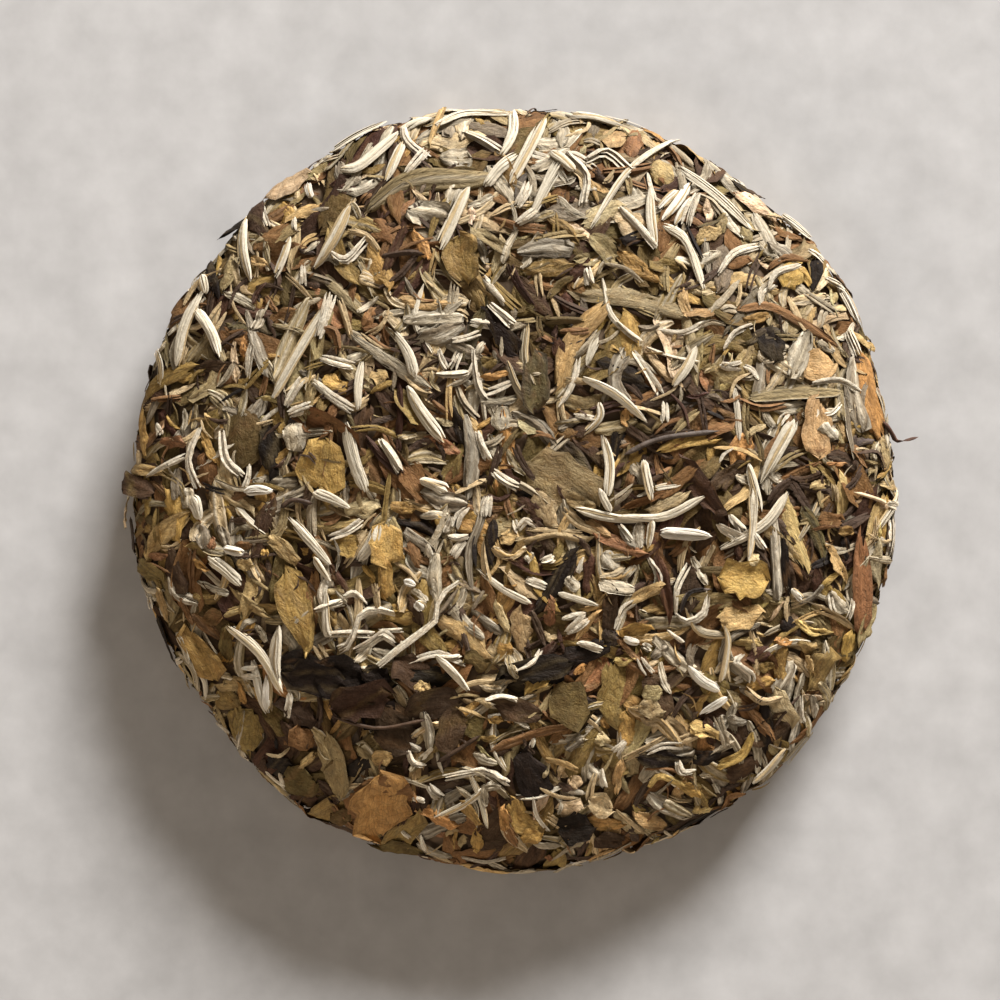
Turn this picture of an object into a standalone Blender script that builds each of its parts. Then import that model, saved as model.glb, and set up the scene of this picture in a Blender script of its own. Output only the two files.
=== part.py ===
"""White peony tea cake: one pressed disc of dried buds, rolled leaves, flakes and stems.

The solid is a turned core, a little smaller than the cake, with the pieces that show fused on at
true size. Places are read straight down on the cake: +X is right, +Y is up, and z = 0 is the
surface that the cake lies on. Sizes are in millimetres until a mesh is made, which is in metres.
"""
import math
import random

import bmesh
import bpy
import numpy as np
from mathutils import Vector, kdtree, noise

MM = 0.001

# The cake
RADIUS = 96.0            # widest outline, seen from above
HEIGHT = 27.6            # top of the dome
EDGE_HEIGHT = 11.0       # height of the widest outline
FLAT_RADIUS = 80.0       # the pressed underside, where the edge starts to turn up
DOME_SHOULDER = 2.6      # larger keeps the dome flatter out to its shoulder
DOME_FALL = 1.9          # larger makes the edge steeper
DRIFT = 0.9              # the outline is that much fuller on one side
DRIFT_ANGLE = math.radians(130)
RIPPLE = 0.45            # unevenness of the outline
RIPPLE_COUNTS = (5, 9)
DOME_STEPS = 160         # points along the dome in the worked-out profile

# The core under the pieces
CORE_SINK = 0.9          # how far the core lies inside the cake's surface
CORE_RINGS = 13
CORE_SIDES = 48
TURN_WEIGHT = 80.0       # more of it draws the rings to the edge, where the profile turns
CORE_LUMP = 0.4          # height of the core's lumps
LUMP_SPAN = 14.0         # distance from lump to lump

# The pieces
LEAF_THICKNESS = 1.1
LEAF_STEP = 6.0          # a leaf bends about this often along its length
LEAF_WAVE = 0.6          # how far a leaf rises and dips
LEAF_LIFT = -0.6         # height of a leaf's middle over the cake's surface
LEAF_END = 0.62          # width of a leaf's ends as a share of its middle
LEAF_RAGGED = 0.06       # unevenness of its outline, as a share of its width
LEAF_FOLD = (-0.4, 0.8)  # how far its midrib stands over its sides
LEAF_CURL = (0.0, 0.9)   # how far its ends curl up
BUD_SIDES = 5
BUD_RINGS = ((0.1, 0.62), (0.5, 1.0), (0.88, 0.55))
STEM_RINGS = ((0.08, 0.85), (0.5, 1.0), (0.94, 0.85))
BUD_DIP = 0.4            # how far a bud's points dip in
STEM_DIP = 0.1
BUD_FLATNESS = 0.8       # thickness of a bud as a share of its width
BUD_SINK = 0.25          # a bud's middle lies this share of its width over the core
BUD_SHARE = 0.35         # share of buds among the scattered pieces
STEM_SIZE = 1.6          # thickness of a bare stem
SCATTER_SEED = 7
SPACING = 8.0            # least distance between scattered pieces
BUD_LENGTHS = (10, 18)
BUD_WIDTHS = (2.0, 3.0)
LEAF_LENGTHS = (8, 15)
LEAF_WIDTHS = (4, 8)
MOST_BOW = 0.12          # sideways, as a share of the length
MOST_LEAN = 0.5          # how far pieces at the edge turn away from running round it
SCATTERED_TOP = 20
SCATTERED_EDGE = 22
SCATTERED_UNDER = 12
RESTING_BELOW = 0.5      # the flake under the middle is pressed flat by this much
RESTING_ABOVE = 1.8      # and reaches this far up, into the core
SLIVER = 0.6             # edges shorter than this are welded after the union
FLAT_WITHIN = 0.001      # a vertex this close to z = 0 is part of the pressed underside
TOUCHING = 0.02          # vertices closer than this are parted
DRAW_BACK = 0.15         # by this share of the way to their neighbours
LEAST_LEFT = 0.2         # how nearly a triangle keeps its direction in the weld, as a cosine
CUT_DEPTH = 6.0          # the slab that presses the underside flat
CUT_WIDTH = 2.4 * RADIUS

# Large pieces that show: start x, y, end x, y, width, bow (sideways, as a share of the length)
BUDS = (
    (-50, 55, -41, 70, 3.2, 0.0), (-19, 59, -12, 75, 2.8, 0.0), (-2, 76, 7, 94, 2.6, 0.0),
    (18, 65, 41, 88, 2.2, -0.12), (33, 76, 34, 60, 2.8, 0.0), (40, 81, 59, 66, 2.6, 0.05),
    (-67, 69, -66, 52, 2.8, 0.08), (-56, 63, -60, 53, 2.0, 0.0), (-79, 50, -84, 31, 3.0, 0.05),
    (-79, 45, -72, 32, 2.6, 0.0), (-60, 24, -46, 48, 2.6, 0.05), (-30, 39, -25, 28, 3.0, 0.0),
    (-38, 32, -40, 19, 2.2, 0.0), (-28, 26, -18, 12, 2.6, 0.0), (-24, 3, -17, 0, 2.4, 0.0),
    (21, 14, 22, -2, 2.6, 0.0), (31, 8, 33, -2, 2.2, 0.0), (38, 26, 44, 36, 2.8, 0.0),
    (60, 2, 69, 18, 3.2, 0.0), (14, -4, 30, -7, 2.6, -0.05), (24, -6, 46, -1, 2.4, -0.12),
    (35, -11, 48, -12, 3.0, 0.0), (67, 0, 50, -14, 2.8, 0.12), (58, 0, 57, -17, 2.2, 0.0),
    (-50, 0, -41, -4, 3.0, 0.0), (-56, -7, -46, -18, 2.4, 0.08), (-34, -8, -39, -17, 2.2, 0.1),
    (-76, -16, -68, -23, 2.8, 0.0), (-59, -33, -60, -48, 3.2, 0.05), (-72, -33, -58, -50, 2.6, 0.08),
    (-66, -42, -62, -55, 2.4, 0.05), (-20, -40, -12, -49, 2.4, 0.0), (10, -25, 20, -28, 2.0, 0.0),
    (42, -44, 49, -48, 2.4, 0.0), (45, -55, 51, -51, 2.4, 0.0), (51, -33, 50, -46, 2.2, 0.15),
    (-14, -22, -34, -43, 2.2, -0.2), (-30, -30, -44, -39, 2.2, -0.25), (12, 94, 26, 91, 2.6, -0.05),
    (-44, 79, -29, 88, 3.0, 0.0), (66, 69, 73, 62, 2.6, 0.0), (67, -64, 59, -73, 2.4, -0.1),
)
LEAVES = (
    (-37, 69, -5, 78, 6, 0.1), (-65, 60, -49, 71, 4.5, 0.08), (-63, 74, -52, 79, 6, 0.0),
    (-74, 63, -66, 70, 5, 0.0), (-22, 73, -22, 63, 8, 0.0), (-13, 63, -12, 50, 9, 0.0),
    (14, 68, 28, 67, 9, 0.0), (0, 59, 14, 59, 7, 0.0), (29, 86, 38, 78, 6, 0.0),
    (60, 70, 66, 57, 5, 0.0), (54, 75, 65, 68, 4, 0.0), (54, 44, 80, 36, 4, 0.1),
    (-93, 25, -70, 31, 5, 0.12), (-60, 27, -51, 48, 5, 0.0), (-68, 20, -68, 6, 10, 0.0),
    (-47, 13, -47, -1, 12, 0.0), (-55, 18, -55, 9, 7, 0.0), (-28, 42, -13, 42, 5, 0.0),
    (10, 26, 22, 46, 6, 0.0), (15, 49, 42, 43, 6, 0.0), (26, 44, 26, 32, 9, 0.0),
    (20, 32, 32, 26, 5, 0.0), (3, 7, 20, -3, 12, 0.0), (4, 34, 5, 20, 6, 0.0),
    (57, 24, 81, 25, 4.5, 0.0), (75, 25, 75, 9, 8, 0.0), (84, 34, 87, 15, 6, 0.0),
    (91, 31, 95, 14, 6, 0.06), (72, 40, 67, 28, 6, 0.0), (-87, 0, -83, -12, 8, 0.0),
    (-61, -2, -65, -14, 5, 0.0), (-60, -10, -54, -18, 6, 0.0), (-57, -19, -53, -39, 8, 0.0),
    (-82, -35, -75, -47, 9, 0.0), (-86, -15, -82, -24, 5, 0.0), (-70, -24, -61, -31, 4, 0.0),
    (-38, 0, -38, -6, 9, 0.0), (-32, -7, -32, -25, 9, 0.0), (-19, -30, -7, -40, 6, 0.0),
    (15, -14, 4, -29, 5, 0.0), (0, -12, 17, -11, 4, 0.0), (19, -11, 32, -15, 4, 0.0),
    (20, -22, 36, -23, 5, 0.0), (8, -50, 18, -56, 11, 0.0), (24, -42, 25, -59, 12, 0.0),
    (22, -57, 14, -72, 9, 0.0), (56, -18, 56, -34, 13, 0.0), (68, -1, 72, -20, 6, 0.0),
    (72, -4, 76, -16, 4.5, 0.0), (86, -12, 87, -36, 7, 0.0), (91, -11, 91, -25, 5, 0.0),
    (74, -50, 77, -40, 10, 0.0), (66, -36, 66, -47, 5, 0.0), (-46, -60, -44, -76, 8, 0.0),
    (-34, -69, -34, -86, 16, 0.0), (-25, -79, -15, -83, 7, 0.0), (33, -75, 46, -82, 8, 0.0),
    (20, -75, 22, -83, 7, 0.0), (66, -49, 68, -59, 7, 0.0), (-66, -55, -67, -65, 8, 0.0),
    (-58, -57, -56, -66, 8, 0.0), (-50, -42, -38, -46, 9, 0.0), (-2, -46, 14, -42, 8, 0.0),
    (-34, -52, -26, -64, 8, 0.0), (10, -86, 22, -84, 8, 0.0), (-98, -1, -98, -9, 4, 0.0),
)
STEMS = (
    (84, 20, 102.5, 14.5, 0.1), (-50, -3, -60, -9, 0.3), (26, 9, 50, 15, 0.1),
    (-8, 0, -11, -28, 0.05), (50, 54, 60, 61, 0.15), (39, -31, 48, -25, -0.35),
    (84, 0, 96, -4.5, 0.1),
)
RESTING_FLAKE = ((-14, -8), (-8, 9), (14, 0), (-1, -11))


def remove_old_objects():
    """Start from an empty scene."""
    for old in list(bpy.data.objects):
        bpy.data.objects.remove(old)


def profile_curve(sink=0.0):
    """Radius and height from the dome's centre, over the edge, to the underside's centre."""
    edge = RADIUS - sink
    rise = HEIGHT - EDGE_HEIGHT - sink
    turn = np.linspace(0.0, math.pi / 2, DOME_STEPS)
    dome_r = edge * np.sin(turn)
    dome_z = EDGE_HEIGHT + rise * (1 - np.sin(turn) ** DOME_SHOULDER) ** (1 / DOME_FALL)
    under_r = FLAT_RADIUS + (edge - FLAT_RADIUS) * np.cos(turn[1:])
    under_z = EDGE_HEIGHT - (EDGE_HEIGHT - sink) * np.sin(turn[1:])
    radii = np.concatenate([dome_r, under_r, [0.0]])
    heights = np.concatenate([dome_z, under_z, [sink]])
    lengths = np.concatenate([[0.0], np.cumsum(np.hypot(np.diff(radii), np.diff(heights)))])
    return radii, heights, lengths


OUTER = profile_curve()
EDGE_LENGTH = float(OUTER[2][DOME_STEPS - 1])
FULL_LENGTH = float(OUTER[2][-1])


def fullness(angle, radius):
    """How much fuller than a circle the outline is, fading out towards the centre."""
    drift = DRIFT * math.cos(angle - DRIFT_ANGLE)
    ripple = sum(RIPPLE * math.sin(count * angle + count) for count in RIPPLE_COUNTS)
    return 1 + (drift + ripple) / RADIUS * (radius / RADIUS) ** 2


def surface_point(length, angle, lift=0.0, curve=OUTER):
    """A point at a length down the profile, raised off the surface by lift."""
    radii, heights, lengths = curve
    before, here, after = length - 0.5, length, length + 0.5
    radius, height = np.interp(here, lengths, radii), np.interp(here, lengths, heights)
    run = np.interp(after, lengths, radii) - np.interp(before, lengths, radii)
    fall = np.interp(before, lengths, heights) - np.interp(after, lengths, heights)
    size = math.hypot(run, fall)
    radius += lift * fall / size
    height += lift * run / size
    radius *= fullness(angle, radius)
    return Vector((radius * math.cos(angle), radius * math.sin(angle), height)) * MM


def above(x, y, lift):
    """The surface under a place seen from above. Past the outline the piece stands out."""
    radius = math.hypot(x, y)
    reach = float(np.interp(radius, OUTER[0][:DOME_STEPS], OUTER[2][:DOME_STEPS]))
    return surface_point(reach, math.atan2(y, x), lift + max(0.0, radius - RADIUS))


def dome(x, y, lift):
    """A place on a flat chart laid over the dome, which also covers the edge."""
    return surface_point(math.hypot(x, y), math.atan2(y, x), lift)


def underside(x, y, lift):
    """A place on a flat chart laid over the underside."""
    return surface_point(FULL_LENGTH - math.hypot(x, y), -math.atan2(y, x), lift)


def spine(start, end, bow, share):
    """The place at a share of a bowed line, and the direction across it."""
    along = Vector((end[0] - start[0], end[1] - start[1]))
    across = Vector((-along.y, along.x)).normalized()
    side = bow * along.length * 4 * share * (1 - share)
    place = Vector(start) + along * share + across * side
    lean = bow * 4 * (1 - 2 * share)
    direction = (along + across * along.length * lean).normalized()
    return place, Vector((-direction.y, direction.x))


def make_leaf(chart, start, end, width, bow, rng):
    """A thin wavy leaf: both faces are the same grid, joined round the rim."""
    bm = bmesh.new()
    waves = rng.uniform(0.7, 1.5)
    phase = rng.uniform(0, math.tau)
    fold = rng.uniform(*LEAF_FOLD)
    curl = rng.uniform(*LEAF_CURL)
    steps = max(2, round(math.dist(start, end) / LEAF_STEP))
    rows = []
    for step in range(steps + 1):
        share = step / steps
        place, across = spine(start, end, bow, share)
        half = width / 2 * (LEAF_END + (1 - LEAF_END) * math.sin(math.pi * share))
        half *= rng.uniform(1 - LEAF_RAGGED, 1 + LEAF_RAGGED)
        row = []
        for side in (-1, 0, 1):
            wave = LEAF_WAVE * math.sin(math.tau * waves * share + phase + side)
            rise = wave + fold * (0.5 - abs(side)) + curl * (2 * share - 1) ** 2
            spot = place + across * half * side
            row.append((spot.x, spot.y, LEAF_LIFT + rise))
        rows.append(row)
    faces = []
    for thickness in (LEAF_THICKNESS / 2, -LEAF_THICKNESS / 2):
        faces.append([[bm.verts.new(chart(x, y, rise + thickness)) for x, y, rise in row]
                      for row in rows])
    skin_grid(bm, *faces)
    return bm


def skin_grid(bm, top, bottom):
    """Close two like grids of vertices into one solid."""
    last_row, last_side = len(top) - 1, len(top[0]) - 1
    for i in range(last_row):
        for j in range(last_side):
            for grid in (top, bottom):
                bm.faces.new((grid[i][j], grid[i + 1][j], grid[i + 1][j + 1]))
                bm.faces.new((grid[i][j], grid[i + 1][j + 1], grid[i][j + 1]))
    rim = [(i, 0) for i in range(last_row)]
    rim += [(last_row, j) for j in range(last_side)]
    rim += [(i, last_side) for i in range(last_row, 0, -1)]
    rim += [(0, j) for j in range(last_side, 0, -1)]
    for (i, j), (k, m) in zip(rim, rim[1:] + rim[:1]):
        bm.faces.new((top[i][j], top[k][m], bottom[k][m]))
        bm.faces.new((top[i][j], bottom[k][m], bottom[i][j]))


def make_flake(corners, below, above):
    """A flat torn flake under the cake: an outline with straight sides, between two heights."""
    bm = bmesh.new()
    low, high = ([bm.verts.new(Vector((x, y, z)) * MM) for x, y in corners] for z in (-below, above))
    bm.faces.new(low)
    bm.faces.new(high)
    for i in range(len(corners)):
        bm.faces.new((low[i - 1], low[i], high[i], high[i - 1]))
    return bm


def make_bud(chart, start, end, width, bow, sizes=BUD_RINGS, dip=BUD_DIP):
    """A slim spindle with a point at each end, bowed along its spine. The points dip in."""
    bm = bmesh.new()
    lift = BUD_SINK * width - CORE_SINK
    rings = []
    for share, size in sizes:
        place, across = spine(start, end, bow, share)
        ring = []
        for side in range(BUD_SIDES):
            turn = math.tau * side / BUD_SIDES
            spot = place + across * math.cos(turn) * width / 2 * size
            rise = lift + math.sin(turn) * width / 2 * size * BUD_FLATNESS
            ring.append(bm.verts.new(chart(spot.x, spot.y, rise)))
        rings.append(ring)
    for near, far in zip(rings, rings[1:]):
        for side in range(BUD_SIDES):
            after = (side + 1) % BUD_SIDES
            bm.faces.new((near[side], near[after], far[after], far[side]))
    for share, ring in ((0.0, rings[0]), (1.0, rings[-1])):
        place, _ = spine(start, end, bow, share)
        point = bm.verts.new(chart(place.x, place.y, lift - dip))
        for side in range(BUD_SIDES):
            bm.faces.new((ring[side], ring[(side + 1) % BUD_SIDES], point))
    return bm


def add_piece(collection, name, bm):
    """Put one closed piece in the collection that is joined to the core."""
    bmesh.ops.recalc_face_normals(bm, faces=bm.faces)
    mesh = bpy.data.meshes.new(name)
    bm.to_mesh(mesh)
    bm.free()
    collection.objects.link(bpy.data.objects.new(name, mesh))


def place_shown_pieces(collection, rng):
    """The leaves, buds and stems that the lists above name. Returns the places they take."""
    taken = []
    for index, (x, y, end_x, end_y, width, bow) in enumerate(LEAVES):
        leaf = make_leaf(above, (x, y), (end_x, end_y), width, bow, rng)
        add_piece(collection, f"leaf_{index}", leaf)
        taken += [Vector((x, y)).lerp(Vector((end_x, end_y)), share) for share in (0.2, 0.8)]
    for index, (x, y, end_x, end_y, width, bow) in enumerate(BUDS):
        bud = make_bud(above, (x, y), (end_x, end_y), width, bow)
        add_piece(collection, f"bud_{index}", bud)
        taken += [Vector((x, y)).lerp(Vector((end_x, end_y)), share) for share in (0.2, 0.8)]
    for index, (x, y, end_x, end_y, bow) in enumerate(STEMS):
        stem = make_bud(above, (x, y), (end_x, end_y), STEM_SIZE, bow, STEM_RINGS, STEM_DIP)
        add_piece(collection, f"stem_{index}", stem)
    return taken


def free_place(rng, near, far, taken, tries=200):
    """A place between two distances from the chart's centre, clear of the pieces there."""
    for _ in range(tries):
        reach = math.sqrt(rng.uniform(near ** 2, far ** 2))
        angle = rng.uniform(0, math.tau)
        spot = Vector((reach * math.cos(angle), reach * math.sin(angle)))
        if all((spot - other).length > SPACING for other in taken):
            return spot
    return spot


def stretched(spot, offset, under):
    """An offset on the chart, widened round the centre by as much as the chart is too wide."""
    reach = max(spot.length, 0.001)
    length = FULL_LENGTH - reach if under else reach
    true_radius = max(float(np.interp(length, OUTER[2], OUTER[0])), 1.0)
    outward = spot / reach
    around = Vector((-outward.y, outward.x))
    return outward * offset.dot(outward) + around * offset.dot(around) * reach / true_radius


def scatter_pieces(collection, rng, taken):
    """Leaves and buds of mixed sizes, spread evenly over what the lists leave bare."""
    under_reach = FULL_LENGTH - EDGE_LENGTH
    zones = (
        ("top", SCATTERED_TOP, 0.0, EDGE_LENGTH - 8, dome, taken),
        ("edge", SCATTERED_EDGE, EDGE_LENGTH - 5, EDGE_LENGTH + 9, dome, []),
        ("under", SCATTERED_UNDER, 16.0, under_reach - 10, underside, []),
    )
    for zone, count, near, far, chart, used in zones:
        for index in range(count):
            spot = free_place(rng, near, far, used)
            used.append(spot)
            turn = rng.uniform(0, math.tau)
            if zone == "edge":
                turn = math.atan2(spot.y, spot.x) + math.pi / 2
                turn += rng.uniform(-MOST_LEAN, MOST_LEAN)
            is_bud = rng.random() < BUD_SHARE and zone != "under"
            length = rng.uniform(*(BUD_LENGTHS if is_bud else LEAF_LENGTHS))
            width = rng.uniform(*(BUD_WIDTHS if is_bud else LEAF_WIDTHS))
            reach = Vector((math.cos(turn), math.sin(turn))) * length / 2
            reach = stretched(spot, reach, zone == "under")
            start, end = tuple(spot - reach), tuple(spot + reach)
            bow = rng.uniform(-MOST_BOW, MOST_BOW)
            if is_bud:
                piece = make_bud(chart, start, end, width, bow)
            else:
                piece = make_leaf(chart, start, end, width, bow, rng)
            add_piece(collection, f"{zone}_{index}", piece)


def ring_reaches(curve):
    """Where the core's rings lie along its profile: closer together where it turns."""
    radii, heights, lengths = curve
    slope = np.unwrap(np.arctan2(np.diff(heights), np.diff(radii)))
    turned = np.concatenate([[0.0], np.cumsum(np.abs(np.diff(slope))), [0.0]])
    turned[-1] = turned[-2]
    measure = lengths + TURN_WEIGHT * turned
    steps = np.linspace(0.0, measure[-1], CORE_RINGS + 1)[1:-1]
    return [float(reach) for reach in np.interp(steps, measure, lengths)]


def make_core():
    """The turned, slightly lumpy body that the pieces are pressed on."""
    curve = profile_curve(CORE_SINK)
    length = float(curve[2][-1])
    bm = bmesh.new()
    rings = []
    for reach in ring_reaches(curve):
        ring = []
        for side in range(CORE_SIDES):
            angle = math.tau * side / CORE_SIDES
            spot = surface_point(reach, angle, 0.0, curve)
            lump = CORE_LUMP * noise.noise(spot / (LUMP_SPAN * MM))
            ring.append(bm.verts.new(surface_point(reach, angle, lump, curve)))
        rings.append(ring)
    for near, far in zip(rings, rings[1:]):
        for side in range(CORE_SIDES):
            after = (side + 1) % CORE_SIDES
            bm.faces.new((near[side], near[after], far[after], far[side]))
    for reach, ring in ((0.0, rings[0]), (length, rings[-1])):
        pole = bm.verts.new(surface_point(reach, 0.0, 0.0, curve))
        for side in range(CORE_SIDES):
            bm.faces.new((ring[side], ring[(side + 1) % CORE_SIDES], pole))
    bmesh.ops.triangulate(bm, faces=bm.faces)
    bmesh.ops.recalc_face_normals(bm, faces=bm.faces)
    mesh = bpy.data.meshes.new("tea_cake")
    bm.to_mesh(mesh)
    bm.free()
    cake = bpy.data.objects.new("tea_cake", mesh)
    bpy.context.scene.collection.objects.link(cake)
    return cake


def apply_boolean(cake, operation, operand, solver):
    """Join or cut the cake with a collection's pieces or one object, and keep the result."""
    step = cake.modifiers.new(operation.lower(), "BOOLEAN")
    step.operation = operation
    step.solver = solver
    if isinstance(operand, bpy.types.Collection):
        step.operand_type = "COLLECTION"
        step.collection = operand
    else:
        step.object = operand
    bpy.context.view_layer.update()
    depsgraph = bpy.context.evaluated_depsgraph_get()
    result = bpy.data.meshes.new_from_object(cake.evaluated_get(depsgraph))
    cake.modifiers.remove(step)
    cake.data = result


def keep_outer_skin(cake):
    """Keep the largest closed skin, which fills sealed hollows and drops loose scraps."""
    bm = bmesh.new()
    bm.from_mesh(cake.data)
    unseen = set(bm.faces)
    skins = []
    while unseen:
        front = [unseen.pop()]
        skin = []
        while front:
            face = front.pop()
            skin.append(face)
            for edge in face.edges:
                for neighbour in edge.link_faces:
                    if neighbour in unseen:
                        unseen.discard(neighbour)
                        front.append(neighbour)
        skins.append(skin)
    skins.sort(key=len)
    scraps = [face for skin in skins[:-1] for face in skin]
    bmesh.ops.delete(bm, geom=scraps, context="FACES")
    bmesh.ops.triangulate(bm, faces=bm.faces)
    bm.to_mesh(cake.data)
    bm.free()
    print("loose scraps and sealed hollows dropped:", len(skins) - 1)


def would_fold(vert, other, place):
    """Whether moving a vertex, as its edge to the other is welded, turns a triangle over."""
    for face in vert.link_faces:
        if other in face.verts:
            continue
        corners = [corner.co for corner in face.verts]
        moved = [place if corner is vert else corner.co for corner in face.verts]
        before = (corners[1] - corners[0]).cross(corners[2] - corners[0])
        after = (moved[1] - moved[0]).cross(moved[2] - moved[0])
        if before.dot(after) <= LEAST_LEFT * before.length * after.length:
            return True
    return False


def weld_short_edges(cake, limit):
    """Weld away the slivers that a union leaves, where the skin stays closed and unfolded.

    What touches the table stays at its height.
    """
    bm = bmesh.new()
    bm.from_mesh(cake.data)
    welded = 0
    for edge in sorted(bm.edges, key=lambda edge: edge.calc_length()):
        if not edge.is_valid or edge.calc_length() > limit:
            continue
        one, two = edge.verts
        around_one = {link.other_vert(one) for link in one.link_edges}
        around_two = {link.other_vert(two) for link in two.link_edges}
        place = (one.co + two.co) / 2
        if min(one.co.z, two.co.z) < FLAT_WITHIN * MM:
            place.z = 0.0
        if len(around_one & around_two) != 2:
            continue
        if would_fold(one, two, place) or would_fold(two, one, place):
            continue
        bmesh.ops.pointmerge(bm, verts=[one, two], merge_co=place)
        welded += 1
    bm.to_mesh(cake.data)
    bm.free()
    print("short edges welded:", welded)


def part_touching_vertices(cake, limit):
    """Draw vertices that lie on one another a little way back along their own faces."""
    bm = bmesh.new()
    bm.from_mesh(cake.data)
    bm.verts.ensure_lookup_table()
    tree = kdtree.KDTree(len(bm.verts))
    for vert in bm.verts:
        tree.insert(vert.co, vert.index)
    tree.balance()
    moves = {}
    for vert in bm.verts:
        close = [index for _, index, _ in tree.find_range(vert.co, limit) if index != vert.index]
        if close:
            others = [edge.other_vert(vert).co for edge in vert.link_edges]
            middle = sum(others, Vector()) / len(others)
            moves[vert] = vert.co.lerp(middle, DRAW_BACK)
    for vert, place in moves.items():
        if vert.co.z > FLAT_WITHIN * MM:
            vert.co = place
    bm.to_mesh(cake.data)
    bm.free()
    print("touching vertices parted:", len(moves))


def press_underside_flat(cake):
    """Cut everything below z = 0 away, as the press leaves it."""
    reach = CUT_WIDTH * MM
    bm = bmesh.new()
    bmesh.ops.create_cube(bm, size=1.0)
    bmesh.ops.scale(bm, vec=(reach, reach, CUT_DEPTH * MM), verts=bm.verts)
    bmesh.ops.translate(bm, vec=(0, 0, -CUT_DEPTH * MM / 2), verts=bm.verts)
    mesh = bpy.data.meshes.new("press")
    bm.to_mesh(mesh)
    bm.free()
    press = bpy.data.objects.new("press", mesh)
    bpy.context.scene.collection.objects.link(press)
    apply_boolean(cake, "DIFFERENCE", press, "MANIFOLD")
    bpy.data.objects.remove(press)


def tea_material():
    """Pressed dry leaf: brown, dull and not metallic."""
    material = bpy.data.materials.new("pressed_tea")
    material.use_nodes = True
    shader = material.node_tree.nodes["Principled BSDF"]
    shader.inputs["Base Color"].default_value = (0.13, 0.09, 0.05, 1.0)
    shader.inputs["Roughness"].default_value = 0.8
    shader.inputs["Metallic"].default_value = 0.0
    return material


def build_tea_cake():
    """Make the core, fuse the pieces on, and press the underside flat."""
    remove_old_objects()
    rng = random.Random(SCATTER_SEED)
    cake = make_core()
    pieces = bpy.data.collections.new("pieces")
    bpy.context.scene.collection.children.link(pieces)
    taken = place_shown_pieces(pieces, rng)
    scatter_pieces(pieces, rng, taken)
    add_piece(pieces, "resting_flake", make_flake(RESTING_FLAKE, RESTING_BELOW, RESTING_ABOVE))
    apply_boolean(cake, "UNION", pieces, "MANIFOLD")
    for piece in list(pieces.objects):
        bpy.data.objects.remove(piece)
    bpy.data.collections.remove(pieces)
    keep_outer_skin(cake)
    press_underside_flat(cake)
    keep_outer_skin(cake)
    weld_short_edges(cake, SLIVER * MM)
    part_touching_vertices(cake, TOUCHING * MM)
    keep_outer_skin(cake)
    cake.data.materials.clear()
    cake.data.materials.append(tea_material())
    cake.data.shade_flat()
    print("tea_cake triangles:", len(cake.data.polygons))


build_tea_cake()
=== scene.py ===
# %% [markdown]
# White peony tea cake: the looks
#
# The real thing is a disc of dried white tea, steamed soft and pressed into shape. What shows is
# a jumble of silvery buds, rolled leaves, flat broken leaves, stems and shreds, each one lying on
# those under it. This script lays those pieces one by one on a dark core, in the way that they
# were pressed, so that the gaps between them are real gaps with real shade.

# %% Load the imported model
import math

import bpy
import numpy as np
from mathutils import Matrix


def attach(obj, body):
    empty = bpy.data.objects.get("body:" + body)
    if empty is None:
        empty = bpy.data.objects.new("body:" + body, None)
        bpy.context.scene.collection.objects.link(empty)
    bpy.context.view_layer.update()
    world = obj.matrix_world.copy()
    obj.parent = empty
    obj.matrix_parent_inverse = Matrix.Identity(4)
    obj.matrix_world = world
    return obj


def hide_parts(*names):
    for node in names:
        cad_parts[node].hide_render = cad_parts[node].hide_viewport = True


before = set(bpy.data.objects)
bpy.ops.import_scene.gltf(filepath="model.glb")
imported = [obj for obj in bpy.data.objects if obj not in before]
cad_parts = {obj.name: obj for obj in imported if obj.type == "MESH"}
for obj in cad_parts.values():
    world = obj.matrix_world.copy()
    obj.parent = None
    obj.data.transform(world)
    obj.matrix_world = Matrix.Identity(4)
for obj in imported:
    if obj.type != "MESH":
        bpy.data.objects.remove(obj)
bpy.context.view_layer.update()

# %% [markdown]
# The cake's form is a profile turned about Z: a dome, a steep edge and a flat underside. Sizes are
# in millimetres until the meshes are made. The outline is a little fuller to the upper left.

# %% The cake's named sizes
MM = 0.001
RADIUS = 96.0            # widest outline, seen from above
HEIGHT = 27.6            # top of the dome
EDGE_HEIGHT = 11.0       # height of the widest outline
FLAT_RADIUS = 80.0       # the pressed underside, where the edge starts to turn up
DOME_SHOULDER = 2.6      # larger keeps the dome flatter out to its shoulder
DOME_FALL = 1.9          # larger makes the edge steeper
DOME_STEPS = 400
DRIFT = 0.9
DRIFT_ANGLE = math.radians(130)
RIPPLE = 0.45
RIPPLE_COUNTS = (5, 9)


def profile_curve():
    """Radius, height and length along the profile, from the dome's centre to the underside's.

    Dome: z = edge + rise (1 - (r/R)^shoulder)^(1/fall). Edge: a quarter ellipse.
    """
    turn = np.linspace(0.0, math.pi / 2, DOME_STEPS)
    dome_z = EDGE_HEIGHT + (HEIGHT - EDGE_HEIGHT) * (
        1 - np.sin(turn) ** DOME_SHOULDER) ** (1 / DOME_FALL)
    under_r = FLAT_RADIUS + (RADIUS - FLAT_RADIUS) * np.cos(turn[1:])
    under_z = EDGE_HEIGHT * (1 - np.sin(turn[1:]))
    radii = np.concatenate([RADIUS * np.sin(turn), under_r, [0.0]])
    heights = np.concatenate([dome_z, under_z, [0.0]])
    steps = np.hypot(np.diff(radii), np.diff(heights))
    return radii, heights, np.concatenate([[0.0], np.cumsum(steps)])


RADII, HEIGHTS, LENGTHS = profile_curve()
EDGE_LENGTH = float(LENGTHS[DOME_STEPS - 1])
FULL_LENGTH = float(LENGTHS[-1])
print("dome to edge, mm:", round(EDGE_LENGTH, 1), "whole profile:", round(FULL_LENGTH, 1))

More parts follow.
